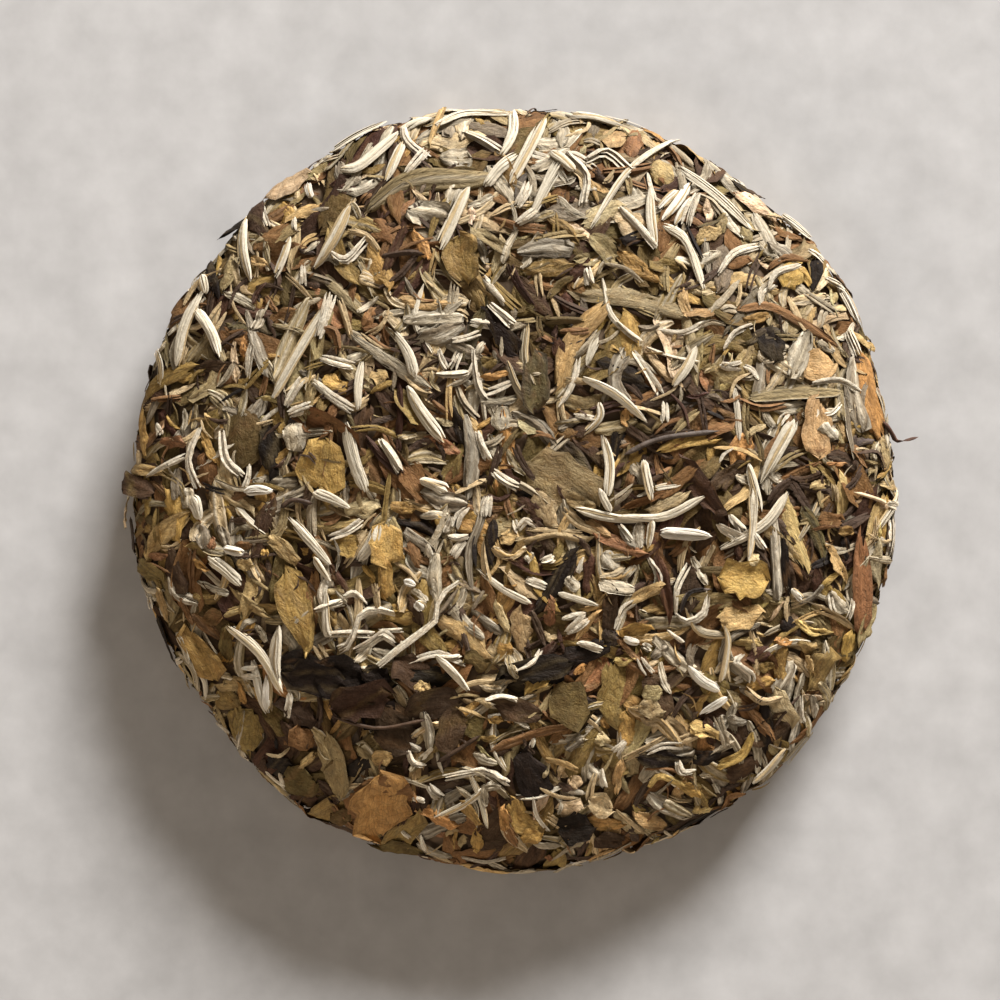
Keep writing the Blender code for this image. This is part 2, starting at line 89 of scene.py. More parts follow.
# %% [markdown]
# A piece is laid out flat on a chart, like paper on a ball: the distance from the chart's centre
# is the length along the profile, so nothing is stretched along it. One chart covers the dome and
# the edge, another the underside. A lift raises a point straight off the surface.


# %% From a flat chart to the cake
TABLE_SOFTNESS = 0.1     # mm over which a piece is pressed flat on the table


def on_surface(reach, angle, lift):
    """Points at a length along the profile and an angle, raised along the surface's normal.

    What would pass through the table is pressed flat on it: z = s log(1 + exp(z / s)).
    """
    radius = np.interp(reach, LENGTHS, RADII)
    height = np.interp(reach, LENGTHS, HEIGHTS)
    run = np.interp(reach + 0.5, LENGTHS, RADII) - np.interp(reach - 0.5, LENGTHS, RADII)
    fall = np.interp(reach - 0.5, LENGTHS, HEIGHTS) - np.interp(reach + 0.5, LENGTHS, HEIGHTS)
    size = np.hypot(run, fall)
    radius = radius + lift * fall / size
    height = height + lift * run / size
    swell = DRIFT * np.cos(angle - DRIFT_ANGLE)
    for count in RIPPLE_COUNTS:
        swell = swell + RIPPLE * np.sin(count * angle + count)
    radius = radius * (1 + swell / RADIUS * (radius / RADIUS) ** 2)
    height = TABLE_SOFTNESS * np.logaddexp(0.0, height / TABLE_SOFTNESS)
    return np.stack([radius * np.cos(angle), radius * np.sin(angle), height], axis=-1)


def dome_point(x, y, lift):
    """The chart over the dome and the edge."""
    return on_surface(np.hypot(x, y), np.arctan2(y, x), lift)


def underside_point(x, y, lift):
    """The chart over the underside."""
    return on_surface(FULL_LENGTH - np.hypot(x, y), -np.arctan2(y, x), lift)


def chart_from_above(points):
    """Chart places of points seen straight down, and how far each stands out past the edge."""
    points = np.asarray(points, float)
    radius = np.hypot(points[:, 0], points[:, 1])
    reach = np.interp(radius, RADII[:DOME_STEPS], LENGTHS[:DOME_STEPS])
    out = np.maximum(radius - RADIUS, 0.0)
    return points * (reach / np.maximum(radius, 0.01))[:, None], out


# %% [markdown]
# In the press, soft damp leaf takes the shape of what lies under it. A cloth simulation of
# thousands of leaves would be slow. So the bed is a map of heights: each piece reads the heights
# under it, smooths them along its own length, lies on top and raises the map. A soft ceiling
# stands in for the press.

# %% The bed that the pieces are laid on
CELL = 0.5               # mm
CORE_DEPTH = 2.3         # the dark core lies this far inside
CORE_LUMPS = 0.5         # and starts this uneven
PRESSED = 0.9            # nothing is laid higher than about this
PRESS_SOFTNESS = 0.35
STIFFNESS = 6            # passes of smoothing along a piece
HIGHEST_COUNTS = 0.7     # what a piece rests on: this much of the highest spot under it
MEAN_COUNTS = 0.3        # and this much of the mean
TILT_TAKEN = 0.5         # how much of the bed's tilt a piece takes over
TILT_LIMIT = 1.6         # mm across a piece
PROUD = 2.1              # no curled edge stands higher than this


def soft_ceiling(lift, ceiling):
    """lift, eased so that it never passes the ceiling: c - s log(1 + exp((c - lift) / s))."""
    return ceiling - PRESS_SOFTNESS * np.logaddexp(0.0, (ceiling - lift) / PRESS_SOFTNESS)


def finer(grid, times=3):
    """A grid with straight-line points between its own, so that its footprint has no holes."""
    rows, columns = grid.shape
    row = np.linspace(0, rows - 1, times * rows)
    column = np.linspace(0, columns - 1, times * columns)
    i, j = np.minimum(row.astype(int), rows - 2), np.minimum(column.astype(int), columns - 2)
    s, t = (row - i)[:, None], (column - j)[None, :]
    upper = grid[i][:, j] * (1 - t) + grid[i][:, j + 1] * t
    lower = grid[i + 1][:, j] * (1 - t) + grid[i + 1][:, j + 1] * t
    return upper * (1 - s) + lower * s


class Bed:
    """The height of what has been laid so far, on one chart."""

    def __init__(self, reach, rng):
        self.reach = reach
        cells = int(2 * reach / CELL) + 2
        self.height = rng.uniform(-CORE_DEPTH, -CORE_DEPTH + CORE_LUMPS, (cells, cells))

    def cells(self, x, y):
        """The row and column of the cell that each place lies in."""
        last = len(self.height) - 1
        row = np.clip(((y + self.reach) / CELL).astype(int), 0, last)
        column = np.clip(((x + self.reach) / CELL).astype(int), 0, last)
        return row, column

    def lay(self, x, y, shape, ceiling, thick):
        """Rest a grid of points on the bed and return its lift. shape is its own relief.

        Lift: heights under it, smoothed along, plus the tilt across, its thickness and its relief.
        """
        below = self.height[self.cells(x, y)]
        along = HIGHEST_COUNTS * below.max(axis=1) + MEAN_COUNTS * below.mean(axis=1)
        for _ in range(STIFFNESS):
            padded = np.concatenate([along[:1], along, along[-1:]])
            along = (padded[:-2] + 2 * padded[1:-1] + padded[2:]) / 4
        tilt = below[:, -1].mean() - below[:, 0].mean()
        tilt = np.clip(tilt, -TILT_LIMIT, TILT_LIMIT) * TILT_TAKEN
        across = np.linspace(-0.5, 0.5, x.shape[1])
        lift = soft_ceiling(along[:, None] + tilt * across + thick, ceiling) + shape
        fine = [finer(grid) for grid in (x, y, lift)]
        row, column = self.cells(fine[0], fine[1])
        np.maximum.at(self.height, (row, column), fine[2])
        return lift


# %% [markdown]
# White tea is hardly worked after picking, so its colours are those of withered leaf. The buds
# wear a cream down, leaf undersides are silver grey, upper sides olive to gold, and bruised or
# wet-pressed leaf goes brown, maroon and nearly black. Each tone is an sRGB hex value.

# %% Colours of withered tea
TONES = {
    "white": "#f0e7d5", "cream": "#e6dac1", "silver": "#b9aa8e", "grey": "#8d7e67",
    "beige": "#ccb388", "khaki": "#a59065", "gold": "#bd9855", "tan": "#c9a871",
    "olive": "#937a45", "moss": "#6b5936", "brown": "#8b6742", "umber": "#4f3c2c",
    "maroon": "#52392c", "black": "#29211a", "rust": "#9c6d47", "orange": "#cc9a5a",
    "peach": "#f0d3ac", "yellow": "#e3c47c", "violet": "#645950",
}


def linear(hex_colour):
    """An sRGB hex colour as three linear numbers."""
    srgb = np.array([int(hex_colour[i:i + 2], 16) for i in (1, 3, 5)]) / 255
    return np.where(srgb <= 0.04045, srgb / 12.92, ((srgb + 0.055) / 1.055) ** 2.4)


PAINT = {tone: linear(colour) for tone, colour in TONES.items()}

# %% [markdown]
# These are the pieces that the eye knows this cake by. Each has a width and the points that its
# middle line runs through, in millimetres from the cake's centre, seen straight down. Flat leaves
# come first, because most of them lie deepest.

# %% Flat leaves that show
FLAKES = {
    "black": [
        (6, -74, 64, -65, 71), (3, -77, 58, -74, 48), (3, 54, 78, 65, 70), (3, 26, 62, 32, 62),
        (3, 74, 58, 73, 50), (5, -61, 16, -61, 4), (5, -8, 44, 0, 34), (3, -16, 20, -13, 11),
        (5, 20, 32, 32, 26), (6, 63, 40, 63, 32), (8, -60, -43, -50, -45), (3, -90, -31, -86, -44),
        (3, -30, -7, -24, -8, -19, -11), (11, -50, -44, -38, -46), (3, -6, -7, -6, -17),
        (4.5, 15, -14, 4, -29), (7, -1, -47, 14, -42), (2.2, 66, -11, 68, -27),
        (3, 82, -11, 82, -17), (4, 66, -32, 70, -35), (6, -63, -68, -56, -68), (8, 3, -64, 5, -76),
        (8, 10, -84, 19, -84), (6, -38, -55, -30, -55), (4, 62, -52, 62, -65),
        (5, 30, -66, 42, -66), (4, -42, -70, -37, -66), (4, 44, -68, 50, -65),
    ],
    "umber": [
        (6, -66, 71, -64, 64), (2.5, 79, 55, 84, 49), (3, -80, 31, -69, 31), (5, -98, 3, -90, 0),
        (4.5, -60, -2, -65, -15), (5, -86, -14, -82, -25), (3, -27, -26, -24, -33),
        (7, -30, -41, -22, -46), (8, 42, -18, 42, -30), (3.5, 23, -24, 22, -35),
        (7, -58, -57, -56, -66), (10, -34, -53, -26, -64), (8, -14, -54, -16, -64),
        (6, 52, -70, 60, -69), (5, -8, -64, -2, -64), (6, 33, -45, 36, -56), (6, 20, -87, 27, -89),
    ],
    "maroon": [
        (2.5, -32, 54, -26, 68), (3, 13, 52, 17, 57), (2, -29, 26, -29, 12), (3, 12, 49, 12, 44),
        (3, 10, 38, 10, 32), (3, -46, -18, -42, -25), (4, 0, 1, -4, 5), (3.5, 0, -2, 7, -7),
        (3, 18, -16, 17, -25), (3, 35, -16, 37, -31), (2.5, 74, -19, 74, -25),
        (4, 57, -41, 63, -40), (3, 54, -12, 56, -19), (3, 47, -56, 49, -63),
    ],
    "violet": [
        (6, 4, 34, 4, 20), (3.5, 71, -4, 76, -17), (4, 22, -34, 24, -38),
    ],
    "brown": [
        (4.5, -65, 60, -57, 67), (5, -35, 67, -31, 61), (2, 64, 66, 70, 63), (3, 51, 57, 58, 57),
        (6, -77, 9, -77, 1), (3, -25, 30, -22, 25), (3, 35, -1, 45, 7), (2, -69, -13, -65, -13),
        (4, -78, -31, -73, -31), (3, -26, -12, -24, -18), (3, -8, -21, -6, -29), (2, 26, -4, 36, 0),
        (4, 75, -7, 81, -7), (3, 18, -55, 8, -62), (6, -54, -58, -52, -64), (4, -4, -78, 0, -88),
        (12, -42, -75, -26, -77),
    ],
    "rust": [
        (4, 28, 83, 30, 90), (3, -88, 12, -82, 12), (3, -22, 13, -14, 9), (2, -75, -11, -75, -14),
        (2, -91, -16, -86, -16), (3, 19, -10, 32, -15), (3, 8, -26, 8, -33), (6, 86, -11, 87, -36),
        (2, 7, -92, 9, -92), (3, -38, 41, -35, 45),
    ],
    "moss": [
        (10, -68, 20, -68, 6), (3.6, -72, -33, -72, -42), (5, -13, -42, -7, -42),
        (8, -58, -71, -50, -72), (10, 8, -51, 18, -54), (4, 30, -19, 33, -19),
        (6, -46, -80, -42, -82), (5, -12, -57, -8, -60),
    ],
    "olive": [
        (8, -14, 63, -12, 51), (4, 33, 57, 40, 55), (3, 8, 68, 15, 61), (4, 2, 55, 14, 56),
        (5, -93, 24, -79, 31), (3, -9, 32, -5, 32), (4, -94, -17, -88, -22),
        (4, -80, -26, -73, -26), (3, -46, -29, -46, -33), (3, -37, -49, -31, -49),
        (10, 24, -42, 25, -58), (2.5, 80, -10, 84, -10), (8, 73, -49, 78, -40),
        (2.5, 60, -44, 64, -43), (8, -66, -55, -67, -65), (8, 21, -58, 14, -72),
        (2, -9, -61, -5, -61), (7, 45, -48, 52, -50), (6, -75, -50, -70, -54),
    ],
    "gold": [
        (5, -37, 61, -32, 50), (4, 25, 59, 35, 52), (6, 66, 51, 70, 56), (2.6, 70, 56, 72, 51),
        (2.5, -78, 15, -74, 7), (2.5, -93, 20, -92, 9), (12, -47, 13, -47, -1),
        (5, -48, 27, -42, 27), (9, 26, 44, 26, 32), (3, 35, 10, 50, 13), (2.5, 56, 43, 62, 43),
        (1.5, 95, 8, 92, 4), (8, -87, 0, -83, -12), (2, -80, -17, -76, -19),
        (7.5, -57, -19, -53, -39), (1.8, -63, -15, -61, -15), (8, -82, -34, -75, -47),
        (3, -31, -3, -25, -4), (6, -45, -13, -39, -13), (8, -32, -8, -32, -18),
        (4, -33, -17, -32, -26), (2, -38, -18, -35, -22), (5, -5, -39, -1, -39),
        (3.5, 25, -34, 33, -34), (9, 50, -21, 62, -22), (4.5, 84, -35, 83, -43),
        (3.5, 66, -38, 66, -47), (3, 57, -49, 64, -47), (2.5, -66, -49, -62, -54),
        (2, -7, -56, -3, -56), (3, -10, -84, -10, -90), (4, 1, -86, 6, -85),
        (3, 58, -60, 56, -65, 50, -68), (3, 46, -77, 41, -73), (3, -14, -77, -9, -82),
    ],
    "yellow": [
        (2, 24, -42, 29, -41), (1.3, 91, -8, 91, -12), (2, 70, -32, 74, -35, 79, -35),
        (4, 43, -58, 49, -61), (2, 33, -74, 36, -71, 42, -74),
    ],
    "khaki": [
        (3, -71, 58, -73, 50), (3, -11, 65, -2, 58), (5, 18, 63, 24, 57), (3, 52, 69, 50, 65),
        (3, 56, 66, 58, 62), (5, 15, 49, 30, 47, 42, 43), (13, 3, 7, 19, -3), (4, 93, 14, 93, 6),
        (5, 5, 0, 10, -8), (4, 12, -1, 19, -5), (3, 0, -12, 9, -10, 17, -11), (5, 1, -29, 2, -39),
        (2, -37, -44, -37, -48), (6, -47, -60, -44, -76), (5, 30, -53, 36, -54),
        (1.5, -10, -63, -5, -67), (4, 31, -50, 36, -49),
    ],
    "beige": [
        (6, -63, 74, -52, 79), (6, 16, 66, 26, 70), (7, 24, 67, 32, 66), (5, -42, -3, -34, -4),
        (2.5, -5, -27, -2, -34), (3, 32, -4, 42, 0), (3, 6, -35, 10, -36), (4, 90, -12, 91, -24),
        (6, 18, -77, 24, -80), (4, 13, -71, 15, -74), (5, 10, -79, 16, -79), (6, 64, -49, 68, -58),
        (3, 58, -15, 59, -18), (3, 20, -60, 22, -63),
    ],
    "tan": [
        (3.5, -57, 67, -49, 71), (2.5, -66, 58, -62, 56), (2.2, -21, 86, -18, 95),
        (5, 21, 87, 27, 88), (6, 33, 80, 39, 78), (4, 45, 62, 50, 66), (3, -96, 6, -88, 4),
        (4, -36, 28, -32, 28), (3, -29, 47, -15, 46), (5, 10, 26, 13, 36, 22, 46),
        (2.8, 41, 50, 42, 43), (8, 75, 23, 75, 9), (7, 71, 32, 79, 32), (2, 84, 40, 90, 36),
        (5, -60, -10, -55, -18), (3, -70, -24, -61, -31), (3, -69, -18, -65, -18),
        (2.4, -89, -24, -87, -32), (5, -20, -31, -7, -40), (3, -22, -47, -25, -49),
        (4, -4, -11, 0, -11), (2, 17, -7, 23, -11), (3, 27, -27, 36, -23), (2.5, 20, -30, 14, -37),
        (4.5, 67, -1, 68, -8, 72, -20), (3, 77, -14, 82, -22), (6, 50, -31, 61, -30),
        (3, 70, -38, 75, -39), (2, 72, -41, 74, -45), (3, 54, -37, 61, -38),
        (2, -54, -68, -50, -65), (4, -36, -66, -31, -66), (2.5, 26, -67, 25, -76),
        (4, 30, -81, 38, -86), (4, 44, -81, 49, -80), (1.5, 18, -93, 25, -91),
        (3, -25, -53, -19, -53), (3, 73, 1, 78, 3),
    ],
    "orange": [
        (3, -25, 64, -22, 57), (2.2, -67, 38, -67, 33), (2, -9, 28, -2, 29), (3, 27, 21, 27, 16),
        (7, 86, 34, 92, 14), (1.2, 77, 7, 82, 7), (2, -70, -48, -68, -53), (2.4, 64, -37, 68, -37),
        (5, -25, -80, -15, -83), (3, -3, -78, -3, -84), (2.5, -2, -53, -1, -57),
        (2, 14, -45, 17, -43), (14, -34, -70, -34, -86),
    ],
    "peach": [
        (3.4, 55, 75, 64, 68), (3, 47, 68, 47, 73), (2, -69, 38, -69, 27), (2.4, -97, -1, -98, -9),
        (2, -11, 70, -11, 66), (2, 77, 55, 74, 50), (1.6, 72, -51, 77, -52),
    ],
}

# %% [markdown]
# Low on the cake, wet-pressed leaves lie side by side in a dark band. They lie over the other
# leaves, so they are laid after them.

# %% The dark band low on the cake
DARK_BAND = {
    "black": [
        (7, -61, -42, -46, -45), (9, -57, -45, -42, -48), (6, -29, -46, -16, -45),
        (7, -3, -46, 13, -42), (5, 12, -41, 22, -37), (5, -38, -44, -30, -47),
    ],
    "umber": [
        (9, -46, -53, -31, -50), (8, -27, -54, -14, -52), (6, -6, -52, 6, -55),
        (6, -60, -53, -50, -56),
    ],
}

# %% [markdown]
# Rolled leaves are young leaves that dried curled along their length, with the downy underside
# out. They look like bundles of grey and silver stripes.

# %% Rolled leaves and stems that show
ROLLS = {
    "silver": [
        (7, -27, 69, -17, 67), (6, -19, 82, -11, 82), (4, 3, 80, 13, 85), (3, 60, 62, 64, 58),
        (3, 59, 70, 65, 57), (6, -55, 17, -55, 10), (3, -41, 39, -30, 31, -21, 25),
        (4, -28, 42, -13, 43), (5, -4, 21, -4, 15), (2, -9, 22, 0, 23), (6, 72, 40, 67, 28),
        (4, 76, 17, 80, 13), (4, -82, 1, -81, -4), (2.2, -85, -35, -82, -43),
        (1.8, -79, -22, -71, -25), (2, -65, -33, -62, -37), (3.5, -20, -15, -20, -28),
        (3, -17, -26, -8, -36), (2.2, -24, -6, -17, -6), (2, -26, -24, -22, -27),
        (2.4, -40, -42, -36, -38), (5, 21, -15, 24, -19), (4, 20, -22, 29, -24),
        (2, 2, -17, 4, -15), (2.2, 35, -42, 38, -50), (2, 43, -16, 47, -23), (3, 12, -21, 15, -24),
        (5, 78, -25, 83, -30), (3, -23, -54, -22, -64), (2, -9, -73, -4, -73),
        (2, -8, -72, -8, -78), (3, -11, -65, -5, -67), (2, 4, -88, 11, -89),
    ],
    "grey": [
        (6, 0, 59, 14, 60), (3, -67, 45, -61, 28), (3, -84, 6, -84, -2), (5, -26, 37, -13, 41),
        (4, -13, 19, -11, 10, -12, -2), (6, 84, 34, 87, 15), (1.8, 82, 24, 84, 8),
        (4, -78, -8, -77, -14), (3, -73, -8, -71, -14), (5, -24, 0, -12, -3),
        (3, -28, -10, -20, -15), (2, -16, -6, -18, -10), (2.2, -8, -1, -9, -7, -12, -16, -11, -27),
        (2.5, 33, -41, 37, -38), (3, 63, -6, 64, -15, 65, -27), (1.4, 76, -23, 74, -26, 70, -28),
        (5, 33, -76, 45, -82), (4, 62, 62, 68, 58), (3, 30, -7, 30, -14), (2.5, 26, -8, 29, -14),
        (2.5, 16, -61, 12, -64), (3, 52, -56, 57, -57),
    ],
    "khaki": [
        (6, -37, 69, -26, 76, -12, 77, -5, 78), (4, -60, 27, -51, 48), (3.5, 57, 23, 81, 25),
        (3, 37, -78, 44, -82), (3, -2, -40, 0, -46), (2.4, -79, 45, -72, 32),
    ],
    "brown": [
        (2.4, 54, 45, 61, 46, 68, 43, 80, 36), (2.2, 62, 55, 66, 58, 72, 57),
        (2.6, -7, -64, 4, -60, 14, -58), (3, 57, -53, 64, -62),
    ],
}
STEMS = {
    "maroon": [
        (1.3, 92, 18, 96, 13, 102, 14),
    ],
    "peach": [
        (1.0, 84, 0, 91, -2, 93, -3),
    ],
    "violet": [
        (1.5, 26, 9, 35, 13, 50, 15), (0.8, -96, -6, -95, -15), (1.0, 40, -30, 42, -25, 48, -24),
    ],
    "umber": [
        (1.4, -50, -3, -55, -2, -58, -4), (1.0, -46, -55, -34, -58, -22, -56),
        (1.2, -20, -67, -15, -64, -9, -60),
    ],
    "grey": [
        (1.2, -34, -42, -28, -38, -20, -31, -14, -23),
    ],
}

# %% [markdown]
# The buds are the silver tips that white peony is picked for. They lie on top, where the press
# left them, and many are split into two or three downy scales. Shreds are their torn scales.

# %% Buds and pale shreds that show
BUDS = {
    "cream": [
        (3.2, -50, 55, -41, 70), (2.8, -19, 59, -12, 75), (2.6, -2, 76, 7, 93),
        (2.8, -67, 69, -68, 60, -66, 52), (2.0, -56, 63, -60, 53), (3.0, -78, 50, -82, 40, -84, 31),
        (2.6, -79, 45, -73, 33), (2.6, -60, 23, -54, 34, -46, 48), (2.2, -38, 32, -39, 20),
        (2.6, -27, 26, -24, 20, -18, 12), (2.6, 21, 14, 22, -1), (2.2, 31, 8, 33, -2),
        (2.8, 38, 26, 44, 36), (3.2, 60, 2, 69, 18), (2.2, 57, 7, 60, -5),
        (1.8, 18, 65, 28, 80, 41, 88), (2.8, 33, 76, 34, 60), (2.6, 40, 81, 50, 74, 59, 65),
        (2.4, 14, -4, 22, -6, 30, -7), (2.2, 24, -6, 36, -6, 46, -1), (1.8, 33, -7, 32, -14),
        (2.8, 67, 0, 61, -8, 50, -14), (2.0, 58, 1, 58, -8, 57, -17), (3.0, -50, 0, -41, -4),
        (2.4, -56, -6, -50, -13, -46, -18), (2.0, -34, -8, -36, -13, -39, -17),
        (2.0, -50, -16, -46, -22), (2.0, -47, -24, -47, -33, -46, -36),
        (2.8, -76, -16, -72, -19, -68, -23), (3.2, -59, -33, -60, -42, -59, -48),
        (2.4, -72, -33, -64, -40, -58, -50), (2.4, -66, -42, -64, -50, -62, -55),
        (2.2, -20, -40, -12, -49), (1.8, 10, -25, 20, -28), (3.0, -30, 39, -25, 28),
        (2.4, -24, 3, -17, 0), (2.5, -32, 76, -28, 86), (3.0, -43, 79, -38, 80, -29, 88),
        (2.4, -46, 84, -32, 91), (2.2, 3, 67, 12, 84), (2.5, 8, 84, 14, 79), (2.4, 66, 69, 73, 62),
        (2.4, 12, 94, 26, 91), (2.2, -8, 75, 0, 83), (2.2, -4, 83, -1, 95),
        (2.4, 16, 28, 24, 24, 32, 17), (2.2, 36, 66, 42, 62, 46, 50),
        (2.0, 51, -33, 52, -37, 51, -44, 50, -47), (2.4, 67, -64, 63, -69, 59, -73),
        (2.2, 80, 51, 85, 42), (2.6, -29, 89, -21, 92), (2.0, -20, 90, -12, 94, 0, 94),
        (2.0, 20, 22, 20, 18, 15, 13), (2.4, -80, -1, -78, -7), (2.4, -42, 17, -40, 8, -37, 0),
        (1.8, 17, 31, 20, 38), (2.0, 20, 1, 23, -5), (2.4, -78, 54, -77, 49),
    ],
    "white": [
        (3.0, 35, -10, 48, -11), (2.4, 42, -43, 50, -49), (2.0, 35, 70, 40, 75),
        (2.0, 36, 67, 43, 77), (1.8, 39, 66, 45, 74), (2.0, -52, 77, -51, 73),
        (2.4, -62, -45, -62, -54), (2.6, -67, 0, -60, 0), (2.2, 45, -55, 52, -51),
        (1.6, 68, -24, 71, -27), (2.6, -25, -27, -23, -29), (2.0, -28, -22, -25, -23),
        (2.2, -72, -14, -67, -15), (1.8, 26, -36, 30, -37),
    ],
}
SHREDS = {
    "cream": [
        (1.5, -46, 59, -42, 57, -37, 62), (1.2, -63, 71, -62, 66), (1, -55, 68, -55, 65),
        (1.5, -53, 56, -53, 51), (1.5, -28, 90, -27, 86, -22, 82), (1.5, -27, 78, -22, 84),
        (1.8, -13, 89, -4, 84), (2, 17, 82, 22, 84, 28, 79), (2, 12, 84, 17, 78, 16, 71),
        (1.6, 25, 70, 34, 60), (2, 45, 74, 42, 66), (2, 0, 66, 5, 69), (2, 0, 70, 3, 76),
        (2, 17, 55, 18, 51), (1.5, 50, 54, 54, 59, 60, 61), (1.5, 62, 50, 64, 54, 70, 56),
        (1.2, 72, 60, 76, 57), (1.2, 76, 53, 81, 50), (1.5, -57, 21, -53, 28),
        (2, -56, 19, -50, 21), (1.4, -78, 16, -81, 8, -79, 1), (1.8, -73, 15, -72, 8, -68, 4),
        (1.3, -92, 4, -82, 9), (1.5, -89, 17, -88, 14), (1.2, -66, 28, -65, 36),
        (2, -49, 38, -46, 49), (1.5, -48, 33, -40, 31), (1.5, -50, 27, -40, 20),
        (1.2, -16, 37, -9, 39), (1.8, -7, 46, -1, 41), (1.5, -20, 29, -12, 29),
        (1.2, -19, 35, -17, 30), (1.2, -14, 34, -16, 30), (1.2, -11, 35, -10, 27, -8, 23),
        (1.5, -10, 15, -7, 8), (2, -6, 5, 0, 1), (2, -34, 13, -29, 5), (1.3, 24, 42, 30, 37),
        (1.2, 14, 19, 19, 18), (1.5, 36, 22, 36, 17), (2.5, 82, 40, 85, 34), (2.5, 50, 31, 55, 31),
        (1.3, 73, 27, 80, 28, 86, 25), (1.5, -12, -4, -15, -9), (2, -7, -1, -8, -6),
        (2, -13, -12, -16, -16), (1.6, -17, -11, -12, -11), (1.8, -46, -11, -38, -7),
        (1.8, -50, -29, -43, -27), (1.4, -43, -26, -40, -25, -37, -28),
        (1.8, -30, -30, -35, -29, -39, -31, -41, -37, -44, -39), (1.2, -47, -35, -35, -35),
        (0.8, -34, -34, -28, -34), (2, -40, -39, -36, -37, -33, -35, -30, -37),
        (1.4, -22, -13, -21, -16), (1, -19, -40, -14, -40), (1.2, -1, -7, 0, -10),
        (1.8, -14, -22, -19, -26, -20, -32, -27, -37, -34, -43), (1.2, 25, -8, 28, -12),
        (1.5, 0, -9, 2, -7, 4, -8), (2, 6, -17, 9, -16), (1.6, 2, -21, 7, -23),
        (1.1, 16, -16, 15, -20), (1.1, 11, -31, 17, -30), (2, 12, -35, 17, -31),
        (0.9, 24, -34, 26, -29, 29, -27), (1.3, 39, -30, 42, -32, 46, -30, 47, -25),
        (1.2, 39, -30, 39, -24, 42, -18), (1.3, 37, -34, 41, -37), (1.8, 31, -38, 33, -39),
        (1.2, 30, -41, 33, -45), (1.5, 52, -6, 56, -10), (1.8, 49, -8, 55, -11),
        (1.4, 58, -10, 61, -14), (1.5, 93, -3, 96, -4), (2, 95, -7, 94, -16),
        (1.3, 84, -27, 83, -32), (1.8, 56, -40, 54, -42, 58, -45, 58, -47), (1, 78, -26, 79, -30),
        (1.4, 54, -47, 56, -46), (1, -69, -44, -65, -44), (1, -69, -46, -64, -46),
        (1.6, -56, -50, -57, -56), (1, -59, -70, -58, -73), (1, -63, -70, -58, -74),
        (1, -26, -76, -23, -77), (2, -22, -73, -19, -76), (1.2, -27, -64, -26, -67, -23, -68),
        (1, -21, -63, -24, -66), (1.8, -18, -71, -8, -69, -4, -71, -2, -72),
        (1.4, -24, -86, -23, -90), (1, -29, -85, -27, -87), (1.2, -14, -92, -8, -93, -3, -92),
        (1.6, 27, -62, 24, -65), (1.5, 18, -59, 17, -59), (1.5, 21, -69, 22, -74),
        (1, 4, -76, 5, -81, 8, -85), (1.1, 32, -65, 36, -63, 41, -63),
        (1.4, 40, -67, 41, -70, 44, -70), (1.2, 71, -51, 71, -56, 72, -58), (1, 4, -61, 3, -63),
        (1, 0, -44, 4, -42, 6, -39), (0.8, -92, -26, -92, -29), (1, -91, -26, -91, -29),
        (1.4, -8, -51, -4, -50, 0, -51), (1.6, 15, -37, 21, -39), (1, -86, -43, -84, -42),
    ],
    "black": [
        (0.6, 40, -30, 42, -25, 46, -24), (0.8, 42, 66, 46, 58), (0.8, -78, 2, -72, 0),
    ],
}
shown = sum(len(pieces) for group in (FLAKES, DARK_BAND, ROLLS, STEMS, BUDS, SHREDS)
            for pieces in group.values())
print("pieces that the eye knows the cake by:", shown)

# %% [markdown]
# A piece is a surface over two parameters: u runs from 0 to 1 along its middle line and v from -1
# to 1 across it. These helpers give that line, the direction across it, how the width falls off at
# the ends, and the unevenness that keeps any two pieces from being alike.

# %% A smooth line, a taper and a ripple
def line_at(points, share):
    """Catmull-Rom: places at shares 0 to 1 of a line that passes through all the points."""
    points = np.asarray(points, float)
    ends = np.vstack([2 * points[0] - points[1], points, 2 * points[-1] - points[-2]])
    spot = np.clip(share, 0.0, 1.0) * (len(points) - 1)
    index = np.minimum(spot.astype(int), len(points) - 2)
    t = (spot - index)[..., None]
    a, b, c, d = (ends[index + shift] for shift in range(4))
    bend = (2 * a - 5 * b + 4 * c - d) * t ** 2 + (3 * b - a - 3 * c + d) * t ** 3
    return 0.5 * (2 * b + (c - a) * t + bend)


def sideways(points, share):
    """The unit direction to the left of the line at each share: its slope turned by 90 degrees."""
    ahead = line_at(points, share + 0.02) - line_at(points, share - 0.02)
    left = np.stack([-ahead[..., 1], ahead[..., 0]], axis=-1)
    return left / np.maximum(np.linalg.norm(left, axis=-1, keepdims=True), 1e-6)


def taper(u, first, last, power=0.5):
    """(1 - (1 - u/first)^2)^power at one end, and the same over last at the other."""
    start = np.clip(u / first, 0.0, 1.0)
    end = np.clip((1 - u) / last, 0.0, 1.0)
    return ((1 - (1 - start) ** 2) * (1 - (1 - end) ** 2)) ** power


def ripple(rng, share, waves, size):
    """A soft random line: a few sines with random phases, so that no two edges match."""
    total = np.zeros_like(share)
    for wave in range(1, waves + 1):
        sine = np.sin(math.tau * (wave * share + rng.random()))
        total = total + sine * rng.uniform(0.4, 1) / wave
    return size * total


def jagged(rng, share, runs, size):
    """A random line of straight runs, as a dry leaf breaks."""
    knots = np.sort(np.concatenate([[0.0, 1.0], rng.uniform(0, 1, runs - 1)]))
    return np.interp(share, knots, rng.uniform(-size, size, runs + 1))


def run_of(points):
    """The length of a line through points, in mm."""
    return float(np.linalg.norm(np.diff(points, axis=0), axis=1).sum())


# %% [markdown]
# The real cake holds many thousands of pieces. Those of one kind have grids of the same size, so
# they are kept as arrays and become a single mesh at the end. A few dozen faces are enough for one
# leaf. Each piece also carries a tint for every point, and a grain map in millimetres along and
# across it, which its fibres follow.

